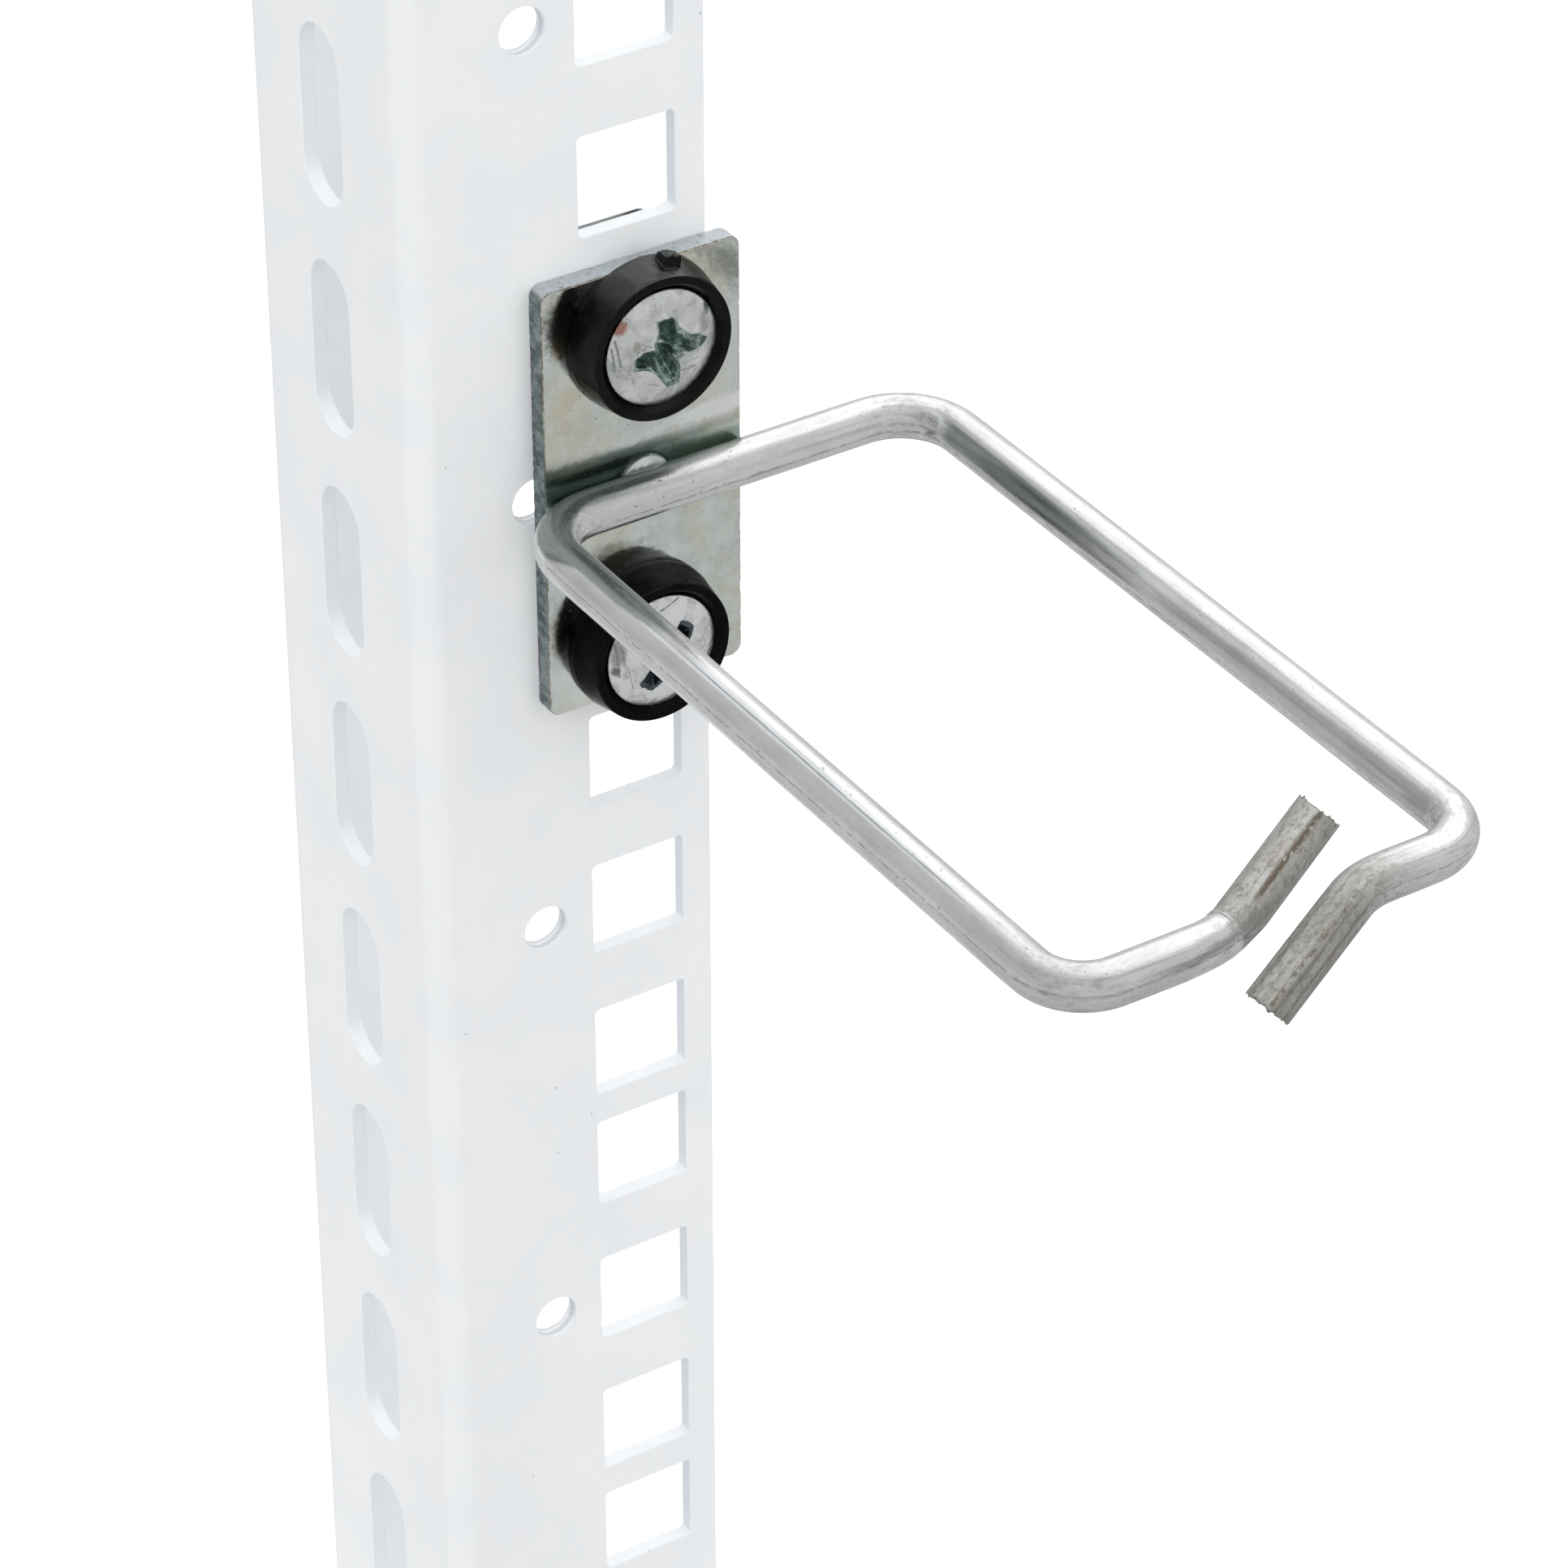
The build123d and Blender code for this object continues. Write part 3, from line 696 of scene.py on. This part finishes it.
def spring_steel():
    """Dull plated spring strip with rolling marks, its upward faces painted light."""
    f = Finish("spring_steel")
    roll = f.noise(1.0, 4, 0.6, stretch=(0.6, 0.6, 9.0))
    cloud = f.noise(0.5, 4, 0.6, shift=4)
    f.colour = f.mix(f.between(roll, 0.4, 0.65), (0.6, 0.61, 0.61), (0.45, 0.46, 0.455))
    f.coat((0.62, 0.58, 0.46), f.between(cloud, 0.5, 0.72, 0, 0.5))
    f.coat((0.3, 0.31, 0.31), f.attribute("wall"), 0.5)
    # painted light: faces turned up are painted pale blue-white, as if lit from above
    up = f.between(f.facing[2], 0.5, 0.95)
    f.coat((0.86, 0.9, 0.97), up, 0.85)
    return f.finish([(roll, 0.012), (cloud, 0.03)], Roughness=f.between(cloud, 0.3, 0.7, 0.26, 0.42),
                    Metallic=0.95)


def weld_metal():
    """Pale plated weld, lumpy, dark where it meets the plate and the wire."""
    f = Finish("weld_metal")
    lump = f.noise(0.9, 4, 0.6)
    grain = f.noise(3.5, 4, 0.65, shift=3)
    f.colour = f.mix(f.between(lump, 0.4, 0.65), (0.86, 0.9, 0.87), (0.7, 0.76, 0.72))
    f.coat((0.34, 0.4, 0.36), f.between(grain, 0.55, 0.72, 0, 0.45))
    rim = f.between(f.attribute("wear"), 0.35, 0.9)
    f.coat((0.06, 0.1, 0.075), rim, 0.8)
    return f.finish([(lump, 0.1), (grain, 0.02)], Roughness=f.between(grain, 0.3, 0.7, 0.26, 0.42),
                    Metallic=0.8)


POWDER = powder_coat(), "rail_paint"
SHEET_ZINC = zinc_sheet(), "zinc_sheet"
WIRE_ZINC = zinc_wire(), "zinc_wire"
SCREW_ZINC = screw_zinc(), "screw_zinc"
PLASTIC = black_plastic(), "black_plastic"
SPRING = spring_steel(), "spring_steel"
WELD = weld_metal(), "zinc_sheet"


# ---------------------------------------------------------------- mounting rail

SHEET = 1.5
BEND = 2.3  # outside radius
BACK_FLANGE = 15.0
RACK_UNIT = 44.45
HOLE_STEP = 15.875
SQUARE_HALF = (4.7, 4.7)
TAPPED = {"wall": 18, "lip": 0.12, "thread": (0.8, 0.3)}
rail_low, rail_high = box_mm("mounting_rail")
web_x, back_y = rail_low[0] + SHEET / 2, rail_high[1] - SHEET / 2
rail_path = Path([(rail_high[0], SHEET / 2), (web_x, SHEET / 2), (web_x, back_y),
                  (rail_low[0] + BACK_FLANGE, back_y)], [BEND - SHEET / 2] * 2)
web_start = rail_path.bends[0][1] - BEND  # the unfolded length at y = 0 on the web
rail_holes = []
for unit in range(round((rail_high[2] - rail_low[2]) / RACK_UNIT)):
    for step in (-1, 0, 1):
        z = rail_low[2] + RACK_UNIT * (unit + 0.5) + step * HOLE_STEP
        rail_holes.append(rectangle((rail_high[0], z), SQUARE_HALF, 0.5))
for mount in frame["record"]["mounts"]:
    x, y, z = (v / MM for v in mount["pos_m"])
    dims = mount["dims"]
    for side in (-0.5, 0.5):
        if mount["name"].startswith("web_slots"):
            place = (web_start + y, z + side * dims["spacing_y_mm"])
            rail_holes.append(slot(place, dims["slot_length_mm"], 2 * dims["hole_r_mm"]))
        elif mount["name"].startswith("tapped"):
            place = (rail_high[0] - x, z + side * dims["spacing_y_mm"])
            rail_holes.append((*circle(place, dims["hole_r_mm"], 48), TAPPED))
creases = rail_path.creases(8)
middle = (rail_path.length / 2, (rail_low[2] + rail_high[2]) / 2)
half = (rail_path.length / 2, (rail_high[2] - rail_low[2]) / 2)
outline = rectangle(middle, half, 0.4, marks=creases)
add_piece("rail", "mounting_rail", "rail", POWDER, **sheet(rail_path, SHEET, outline, rail_holes, 0.15, creases))


# ---------------------------------------------------------------- ring plate

SCREW_HOLE = 3.7
SCREW_HOLE_Z = 15.025
WELD_HOLE = 2.6
plate_low, plate_high = box_mm("ring_plate")
PLATE = plate_high[1] - plate_low[1]


def plate_edge(points, depth):
    """Small nicks and the waviness of a sheared edge."""
    rough = wander([(*p, depth) for p in points], 1.6, 2, 4)
    return -np.clip(rough, 0, 1) * 0.09 - 0.02


plate_path = Path([(plate_high[0], -PLATE / 2), (plate_low[0], -PLATE / 2)], [])
holes = [circle((plate_high[0], z), radius, count)
         for z, radius, count in ((-SCREW_HOLE_Z, SCREW_HOLE, 72), (SCREW_HOLE_Z, SCREW_HOLE, 72), (0, WELD_HOLE, 48))]
outline = (*rectangle((plate_high[0], 0), (plate_high[0], plate_high[2]), 1.1, step=0.18, arc_steps=8), {"wall": 5})
add_piece("plate", "ring_plate", "rail", SHEET_ZINC, **sheet(plate_path, PLATE, outline, holes, 0.14,
                                                             ragged=plate_edge))


# ---------------------------------------------------------------- wire ring

WIRE = 2.0  # radius
AROUND = 72
END_ZONE = 6.0  # the length over which the points lean to meet a cut end
ring_low, ring_high = box_mm("wire_ring")
left, right = ring_low[0] + WIRE, ring_high[0] - WIRE
rear, front = ring_high[1] - WIRE, -82.65
INNER_TURN, INNER_END = (2.2, front), np.array([18.609, -72.794])
OUTER_TURN, OUTER_END = (15.35, front), np.array([-0.164, -91.537])
CUT = np.array([0.738, 0.027, 0.674])  # across the plane of both shear cuts
ring_path = Path([INNER_END, INNER_TURN, (left, front), (left, rear), (right, rear), (right, front), OUTER_TURN,
                  OUTER_END], [8.0, 4.7, 6.0, 6.0, 5.0, 8.0])
TAIL_IN, FRONT_LEFT, REAR_LEFT, REAR_RIGHT, FRONT_RIGHT, TAIL_OUT = [bend[:2] for bend in ring_path.bends]
CREASE = TAIL_IN[0] + 1.5  # the inner tail's tool mark
stations = np.unique(np.concatenate([np.linspace(0, ring_path.length, int(ring_path.length / 0.36)),
                                     np.arange(16.6, 19.8, 0.09), np.arange(*FRONT_RIGHT, 0.18)]).round(4))
place, way, side = ring_path.at(stations)
theta = full_turn(AROUND)
degrees = np.degrees(theta)
wave, height = np.cos(theta), np.sin(theta)


def cut_shift(heading, lateral, normal):
    """How far each line along the wire runs past the end's middle to reach the shear's plane."""
    return -WIRE * (wave * (lateral @ normal[:2]) + height * normal[2]) / (heading @ normal[:2])


def dark_bands(s):
    """Where the wire mirrors something dark: high on the left rear bend and arm, lower along the right arm."""
    rounding = smooth_step(s, REAR_LEFT[0] - 4, REAR_LEFT[0] + 1)
    low = 68 - 13 * smooth_step(s, REAR_LEFT[0] - 18, REAR_LEFT[0] - 9) - 30 * rounding
    low = low + 22 * smooth_step(s, *REAR_LEFT)
    dark = 0.86 * smooth_step(s, REAR_LEFT[0] - 25, REAR_LEFT[0] - 8) * span(degrees, low, low + 8, 126, 136)
    dark = dark * (1 - smooth_step(s + 0.1 * (degrees - 80), REAR_LEFT[1] + 5, REAR_LEFT[1] + 17))
    begin = REAR_RIGHT[1]
    dark = dark + 0.82 * span(s, begin - 1, begin + 1.5, begin + 9, begin + 40) * span(degrees, 124, 131, 170, 190)
    return np.maximum(dark, 0.26 * span(s, begin + 10, begin + 40, *FRONT_RIGHT) * span(degrees, 118, 136, 184, 198))


verts, roll, dirt, cut, old, shade = [], [], [], [], [], []
start_shift = cut_shift(-way[0], side[0], CUT)
end_shift = cut_shift(way[-1], side[-1], -CUT)
for s, p, t, n in zip(stations, place, way, side):
    # dull tails, the left front part slightly dull, and the tool mark's ridge beside its groove
    mark = CREASE + 0.35 * np.cos(theta - 1.2) - 0.1
    dull = 1 - smooth_step(s, mark - 0.25, mark + 0.15)
    dull = dull + 0.95 * smooth_step(s, TAIL_OUT[0] - 6, TAIL_OUT[1] + 1)
    dull = dull + 0.25 * span(s, 21, 27, FRONT_LEFT[1], FRONT_LEFT[1] + 8)
    ridge = bump(s, mark, 0.14) - 0.9 * bump(s, mark + 0.3, 0.18)
    radius = WIRE + 0.11 * ridge * np.clip(np.cos(theta - 1.3) * 1.8, 0, 1)
    # a fold inside the front right bend, and every bend thinned on its outside
    inner = np.clip(-wave, 0, 1) ** 2 * np.clip(np.cos(theta - 2.6) * 3, 0, 1)
    fold = 0.09 * bump(s, FRONT_RIGHT[0] + 2.3, 0.7) - 0.16 * bump(s, FRONT_RIGHT[0] + 3.6, 0.5)
    radius = radius + fold * inner
    bend_dirt = 0.0
    for a, b, turn in ring_path.bends:
        hold = float(span(s, a - 2.5, a + 1.5, b - 1.5, b + 2.5))
        thin = 0.4 if a == TAIL_IN[0] else 0.07 * min(1.0, abs(turn))
        radius = radius - thin * hold * np.clip(-math.copysign(1, turn) * wave, 0, 1) ** 2
        bend_dirt = max(bend_dirt, hold)
    start_lean = max(0.0, 1 - s / END_ZONE) * start_shift
    end_lean = max(0.0, 1 - (ring_path.length - s) / END_ZONE) * end_shift
    shift = end_lean - start_lean
    xy = p + t * shift[:, None] + n * (radius * wave)[:, None]
    verts += xyz(*xy.T, radius * height).tolist()
    roll += xyz(WIRE * wave, WIRE * height, s + shift).tolist()
    dirt += np.maximum(0.4 * bend_dirt, 0.8 * dull).tolist()
    cut += [0.0] * AROUND
    old += np.clip(dull, 0, 1).tolist()
    shade += dark_bands(s).tolist()
faces = []
for row in range(len(stations) - 1):
    faces += ring_faces(row * AROUND, (row + 1) * AROUND, AROUND)
# the cut ends: a burr round a crumbled face
END_ROWS = ((0.99, 0.10), (0.965, 0.16), (0.93, 0.05), (0.88, 0), (0.8, 0), (0.7, 0), (0.58, 0), (0.44, 0), (0.28, 0),
            (0.14, 0))
for previous, end, sign in ((0, INNER_END, 1), ((len(stations) - 1) * AROUND, OUTER_END, -1)):
    middle = np.array([*end, 0.0])
    rim = np.array(verts[previous:previous + AROUND])
    for share, lift in END_ROWS:
        points = middle + (rim - middle) * share
        crumble = wander(points, 1.9, 5 + sign, 4)
        out = lift * (0.5 + 1.6 * crumble) + 0.12 * crumble * min(1.0, (1 - share) * 8)
        points = points + out[:, None] * CUT * sign / np.linalg.norm(CUT)
        faces += ring_faces(previous, len(verts), AROUND)
        previous = len(verts)
        verts += points.tolist()
        dirt += [0.9 if share > 0.9 else 0.3] * AROUND
    faces += fan(previous, len(verts), AROUND)
    verts.append(middle.tolist())
    dirt.append(0.3)
    added = len(verts) - len(roll)
    roll += verts[-added:]
    cut += [1.0] * added
    old += [1.0] * added
    shade += [0.0] * added
add_piece("ring", "wire_ring", "rail", WIRE_ZINC, verts, faces, roll=roll, dirt=dirt, cut=cut, old=old, shade=shade)


# ---------------------------------------------------------------- weld

COUNT = 72
weld_low, weld_high = box_mm("ring_weld")
WELD_RADIUS = (weld_high[0] - weld_low[0]) / 2
angle = full_turn(COUNT)
verts, wear = [(0.0, -2.05, 0.0)], [0.0]
shares = np.linspace(0.06, 1.0, 20)
for share in shares:
    x, z = WELD_RADIUS * share * np.cos(angle), WELD_RADIUS * share * np.sin(angle)
    gap = WIRE - np.sqrt(np.clip(WIRE ** 2 - z ** 2, 0, None)) + np.clip(np.abs(z) - WIRE, 0, None)
    swell = 0.8 * np.sqrt(np.clip(1 - (share * 0.985) ** 4, 0, 1)) * (1 + 0.18 * wander(xyz(x, z, 0), 0.8, 4))
    verts += xyz(x, -PLATE - np.minimum(swell, gap + 0.06), z).tolist()
    wear += [float(smooth_step(share, 0.86, 1.0))] * COUNT
for y in (-PLATE, 0.0):
    verts += around(WELD_RADIUS, y, angle).tolist()
    wear += [1.0] * COUNT
last = 1 + (len(shares) + 1) * COUNT
faces = fan(1, 0, COUNT) + [range(last, last + COUNT)]
for start in range(1, last, COUNT):
    faces += ring_faces(start, start + COUNT, COUNT)
add_piece("weld", "ring_weld", "rail", WELD, verts, faces, wear=wear)


# ---------------------------------------------------------------- screws

SHANK = 2.95
THREAD_ROOT = 2.45
PITCH = 1.0
HEAD = 5.38
CROWN = 1.4
RECESS = 3.35
RIM_Y = -5.15
CROWN_Y = RIM_Y - CROWN
TIP_Y = 10.85
CONE_Y = 0.43  # where the head's cone would meet the axis
RIM_COUNT = 264
SHANK_COUNT = 66
PER = RIM_COUNT // SHANK_COUNT
CROWN_RADIUS = (HEAD ** 2 + CROWN ** 2) / (2 * CROWN)
CROSS_ARM = [(1.40, -1.40), (1.80, -1.06), (3.22, -0.86), (3.40, -0.62), (3.46, 0), (3.40, 0.62), (3.22, 0.86),
             (1.80, 1.06)]
FRESH_CROSS = [(x * c - y * s, x * s + y * c) for c, s in ((1, 0), (0, 1), (-1, 0), (0, -1)) for x, y in CROSS_ARM]
WORN_CROSS = [(0.86, -0.80), (1.54, -0.43), (3.40, -0.50), (4.15, 0.05), (3.09, 0.84), (2.23, 1.11), (1.37, 1.97),
              (1.03, 2.20), (0.94, 2.83), (0.48, 3.22), (-1.03, 3.15), (-1.03, 1.97), (-1.44, 1.29), (-1.37, 0.80),
              (-2.30, 0.77), (-3.22, 0.20), (-3.26, -0.86), (-1.97, -1.03), (-1.20, -1.72), (-0.51, -2.74),
              (0.02, -3.40), (1.22, -3.45), (1.11, -2.92), (1.03, -1.72)]


def crown_depth(r):
    """How far the crown has fallen below its top at a radius."""
    return CROWN_RADIUS - np.sqrt(np.clip(CROWN_RADIUS ** 2 - r ** 2, 0, None))


def recess_outline(corners, seed):
    """The cross's rim as points evenly spaced by length, slightly ragged."""
    closed = np.array(corners + corners[:1])
    lengths = np.concatenate([[0], np.cumsum(np.linalg.norm(np.diff(closed, axis=0), axis=1))])
    target = np.arange(RIM_COUNT) / RIM_COUNT * lengths[-1]
    x, z = (np.interp(target, lengths, closed[:, k]) for k in (0, 1))
    return np.stack([x, z], -1) * (1 + 0.022 * wander(xyz(x, z, seed), 2.6, seed, 4))[:, None]


def recess_depth(points):
    """Depth of the cross recess below the crown's top: four tapering arms and a faceted core."""
    x, z = np.abs(points.T)
    depth = np.zeros(len(points))
    for along, across in ((x, z), (z, x)):
        depth = np.maximum(depth, np.minimum((3.5 - along) * 1.12, (1.06 - 0.08 * along - across) * 6.0))
    core = np.minimum(2.05 - (x + z) / math.sqrt(2), 2.05 - np.hypot(x, z)) * 1.9
    return np.minimum(np.maximum(depth, core), RECESS - 0.5 * np.hypot(x, z))


def screw(name, node, body, cross, turn, seed):
    """A screw, made on the Y axis and then turned and moved to its place."""
    rim = recess_outline(cross, seed)
    verts, hollow = [(0.0, CROWN_Y + RECESS, 0.0)], [1.0]

    def add(points, dark=0.0):
        verts.extend(points.tolist())
        hollow.extend([dark] * len(points))

    # the recess, from its middle out to the rim
    for share in (1 - np.linspace(1, 0, 26)[:-1] ** 1.6)[1:]:
        x, z = rim.T * share
        depth = recess_depth(rim * share) + 0.05 * wander(xyz(x, z, 0), 2, seed)
        add(xyz(x, CROWN_Y + np.maximum(depth, crown_depth(np.hypot(x, z)) + 0.05), z), 1.0)
    # the crown, with a burr round the recess, its points spreading out to even angles
    reach = np.hypot(*rim.T)
    heading = np.arctan2(rim[:, 1], rim[:, 0])
    heading = np.where(heading < heading[0] - 1e-9, heading + 2 * math.pi, heading)
    even = heading[0] + full_turn(RIM_COUNT)
    for share in (0, 0.012, 0.03, 0.055, 0.09, *np.linspace(0.13, 1, 26)):
        r = reach + (HEAD - 0.05 - reach) * share
        points = around(r, 0, heading + (even - heading) * share)
        spots = points[:, [0, 2, 1]]
        past = r - reach
        burr = 0.075 * bump(past, 0.1, 0.13) * (0.7 + 0.9 * wander(spots, 1.3, seed + 1))
        dents = 0.03 * wander(spots, 0.9, seed + 2, 4) * np.clip(past * 3, 0, 1)
        points[:, 1] = CROWN_Y + crown_depth(r) - np.clip(burr, 0, 1) + dents * (1 - share)
        add(points, max(0.0, 0.8 - share * 50))
    for r, y in ((HEAD - 0.01, RIM_Y + 0.03), (HEAD, RIM_Y + 0.09), (HEAD, CONE_Y - HEAD - 0.05),
                 (HEAD - 0.05, CONE_Y - HEAD + 0.06), (SHANK + 0.06, CONE_Y - SHANK - 0.04)):
        add(around(r, y, even))
    fine, first = len(verts) - RIM_COUNT, len(verts)
    faces = fan(1, 0, RIM_COUNT)
    for start in range(1, fine, RIM_COUNT):
        faces += ring_faces(start, start + RIM_COUNT, RIM_COUNT)
    # the shank with its thread, which has a quarter of the rim's points
    coarse = even[::PER]
    for y in np.arange(CONE_Y - SHANK, TIP_Y - 0.02, PITCH / 12):
        phase = ((y - TIP_Y) / PITCH + np.arange(SHANK_COUNT) / SHANK_COUNT) % 1.0
        groove = np.clip(1.25 - np.abs(phase * 2 - 1) * 1.6, 0, 1)
        groove = groove * smooth_step(y, CONE_Y - SHANK + 0.4, CONE_Y - SHANK + 1.6)
        tip = SHANK - 0.6 * (1 - np.clip((TIP_Y - y) / 0.6, 0, 1))
        add(around(np.minimum(SHANK - (SHANK - THREAD_ROOT) * groove, tip), y, coarse))
    end = len(verts)
    add(around(SHANK - 0.68, TIP_Y, coarse))
    add(np.array([(0.0, TIP_Y, 0.0)]))
    for k in range(SHANK_COUNT):
        faces.append([first + k, *(fine + (k * PER + j) % RIM_COUNT for j in range(PER + 1)),
                      first + (k + 1) % SHANK_COUNT])
    for start in range(first, end, SHANK_COUNT):
        faces += ring_faces(start, start + SHANK_COUNT, SHANK_COUNT)
    faces += fan(end, len(verts) - 1, SHANK_COUNT)
    low, high = box_mm(node)
    c, s = math.cos(math.radians(turn)), math.sin(math.radians(turn))
    x, y, z = np.array(verts).T
    verts = xyz((low[0] + high[0]) / 2 + x * c - z * s, y, (low[2] + high[2]) / 2 + x * s + z * c)
    add_piece(name, node, body, SCREW_ZINC, verts, faces, hollow=hollow)


screw("screw_upper", "upper_screw", "upper_fastener", WORN_CROSS, 0.0, 1.0)
screw("screw_lower", "lower_screw", "lower_fastener", FRESH_CROSS, 50.0, 2.0)


# ---------------------------------------------------------------- cup washers

CUP_PROFILE = [(6.0, -5.55), (5.5, -5.0), (3.25, -2.75), (3.25, -2.0), (7.2, -2.0), (7.2, -2.5), (6.68, -5.55)]
CUP_RADII = [0.1, 0.08, 0.1, 0.05, 0.06, 0.08, 0.16]
NUB_REACH = 7.85


def rounded_profile(corners, radii, step):
    """A closed profile with rounded corners, as points at most a step apart, and how near each is to a corner."""
    curve = []
    for k in range(len(corners)):
        before, here, after = (np.array(corners[(k + j) % len(corners)], float) for j in (-1, 0, 1))
        a, b = ((p - here) / np.linalg.norm(p - here) for p in (before, after))
        cut = radii[k] / math.tan(math.acos(float(a @ b)) / 2)
        for t in np.linspace(0, 1, 5):
            point = (here + a * cut) * (1 - t) ** 2 + 2 * here * t * (1 - t) + (here + b * cut) * t ** 2
            curve.append(np.array([*point, math.sin(t * math.pi)]))
    dense = []
    for p, q in zip(curve, curve[1:] + curve[:1]):
        pieces = max(1, int(np.linalg.norm((q - p)[:2]) / step))
        dense += [p + (q - p) * j / pieces for j in range(pieces)]
    return dense


def cup_washer(name, node, body, screw_node, nub, seed):
    """A cup washer round its screw, one of them with a moulding nub on top."""
    low, high = box_mm(screw_node)
    angle = full_turn(240)
    if nub:  # finer over the nub
        angle = np.radians(np.concatenate([np.linspace(60, 92, 90, False), np.linspace(92, 420, 200, False)]))
    count = len(angle)
    profile = rounded_profile(CUP_PROFILE, CUP_RADII, 0.16)
    verts, faces, wear = [], [], []
    for row, (r, y, worn) in enumerate(profile):
        push = 0.0
        if r > 6.3 and -5.4 < y < -2.2:
            spots = around(r, y, angle)
            push = 0.03 * wander(spots, 0.5, seed)
            if nub:
                x, _, z = spots.T
                mask = span(y, -4.2, -4.08, -2.72, -2.6) * span(x, 0.98, 1.06, 2.44, 2.52) * (z > 0)
                push = push + mask * (NUB_REACH - r + 0.10 * wander(spots, 3.0, seed + 4))
        verts += (around(r + push, y, angle) + (low + high) / 2 * (1, 0, 1)).tolist()
        wear += [worn] * count
        faces += ring_faces(row * count, (row + 1) % len(profile) * count, count)
    add_piece(name, node, body, PLASTIC, verts, faces, wear=wear)


cup_washer("washer_upper", "upper_cup_washer", "upper_washer", "upper_screw", True, 1.0)
cup_washer("washer_lower", "lower_cup_washer", "lower_washer", "lower_screw", False, 2.0)


# ---------------------------------------------------------------- cages and nuts

STRIP = 0.5
LUG_HALF = 4.1
BACK_OPENING = 4.1
BORE = 3.0


def cage(name, node):
    """A strip folded to a box open at the front, its two lugs standing in the square hole."""
    low, high = box_mm(node)
    half_x, back, half_z = high[0] - STRIP / 2, high[1] - STRIP / 2, (high[2] - low[2]) / 2
    lug, shoulder, tip = 4.6 - STRIP / 2, SHEET + 0.05 + STRIP / 2, low[1]
    path = Path([(lug, tip), (lug, shoulder), (half_x, shoulder), (half_x, back), (-half_x, back),
                 (-half_x, shoulder), (-lug, shoulder), (-lug, tip)], [0.3, 0.6, 0.6, 0.6, 0.6, 0.3])
    neck, total = SHEET + 0.05 - tip, path.length
    corners = [(0.0, LUG_HALF), (0.0, -LUG_HALF), (neck, -LUG_HALF), (neck, -half_z), (total - neck, -half_z),
               (total - neck, -LUG_HALF), (total, -LUG_HALF), (total, LUG_HALF), (total - neck, LUG_HALF),
               (total - neck, half_z), (neck, half_z), (neck, LUG_HALF)]
    creases = path.creases(4)
    outline = rounded_outline(corners, [0.6, 0.6, 0.0, 0.4, 0.4, 0.0] * 2, 4, marks=creases)
    made = sheet(path, STRIP, outline, [circle((total / 2, 0.0), BACK_OPENING, 48)], 0.1, creases)
    made["verts"][:, 2] += (low[2] + high[2]) / 2
    add_piece(name, node, "rail", SPRING, **made)


def nut(name, node):
    """A square nut with rounded edges and a threaded bore."""
    low, high = box_mm(node)
    centre, half = (low + high) / 2, (high - low) / 2
    path = Path([(high[0], centre[1]), (low[0], centre[1])], [])
    outline = rectangle((half[0], centre[2]), half[[0, 2]], 0.6)
    bore = (*circle((half[0], centre[2]), BORE, 72), {"wall": 48, "lip": 0.2, "thread": (PITCH, 0.45)})
    made = sheet(path, 2 * half[1], outline, [bore], 0.35)
    add_piece(name, node, "rail", SCREW_ZINC, **made, hollow=np.zeros(len(made["verts"])))


for level in ("upper", "lower"):
    cage(f"cage_{level}", f"{level}_cage")
    nut(f"nut_{level}", f"{level}_nut")


# ---------------------------------------------------------------- studio

scene = bpy.context.scene
scene.view_settings.view_transform = "Standard"
lens = bpy.data.cameras.new("camera")
lens.lens = 141.52
lens.sensor_width = 36
lens.clip_start = 0.01
camera = bpy.data.objects.new("camera", lens)
scene.collection.objects.link(camera)
camera.location = (-0.23106, -0.38494, 0.27486)
camera.rotation_mode = "QUATERNION"
camera.rotation_quaternion = Vector((0.4449, 0.6948, -0.5651)).to_track_quat("-Z", "Y")
scene.camera = camera

scene.world = bpy.data.worlds.new("studio")
scene.world.cycles.sampling_method = "NONE"
sky = Finish("studio", scene.world)
direction = sky.node("TexCoord", "Generated")


def glow(towards, low, high):
    """Light from one side of the studio."""
    return sky.between(sky.vector("DOT_PRODUCT", direction, towards), low, high)


softbox = glow((0.45, 0.35, 0.82), 0.76, 0.83)
mirrored = glow((0.5, -0.8, 0.3), -0.45, 0.5) * 0.20 + 0.40 + softbox * 0.78 + glow((0.62, 0.72, 0.3), 0.80, 0.96) * 0.30
diffuse = glow((-0.62, -0.72, 0.3), -0.4, 0.6) * 0.27 + 0.76 + softbox * 0.24
light = sky.node("LightPath", "Is Glossy Ray") * (mirrored - diffuse) + diffuse
light = sky.any_of(light, sky.node("LightPath", "Is Camera Ray"))
sky.surface("World", sky.node("Background", Color=(1, 1, 1), Strength=light))

# the floor: nearly white to the camera, and even light to everything else
ground = Finish("floor")
level = ground.node("LightPath", "Is Glossy Ray") * 0.58 + ground.node("LightPath", "Is Diffuse Ray") * 1.04
glow_below = ground.node("Emission", Color=(1, 1, 1), Strength=level)
seen = ground.node("AddShader", i0=ground.node("BsdfDiffuse", Color=(0.9, 0.9, 0.9)),
                   i1=ground.node("Emission", Color=(1, 1, 1), Strength=0.35))
ground.surface("Material", ground.node("MixShader", i0=ground.node("LightPath", "Is Camera Ray"), i1=glow_below,
                                       i2=seen))
floor_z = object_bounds()[0].z
floor_mesh = bpy.data.meshes.new("floor")
floor_mesh.from_pydata([(x, y, floor_z) for x, y in ((-3, -3), (3, -3), (3, 3), (-3, 3))], [], [(0, 1, 2, 3)])
floor_mesh.materials.append(ground.owner)
floor = bpy.data.objects.new("floor", floor_mesh)
scene.collection.objects.link(floor)
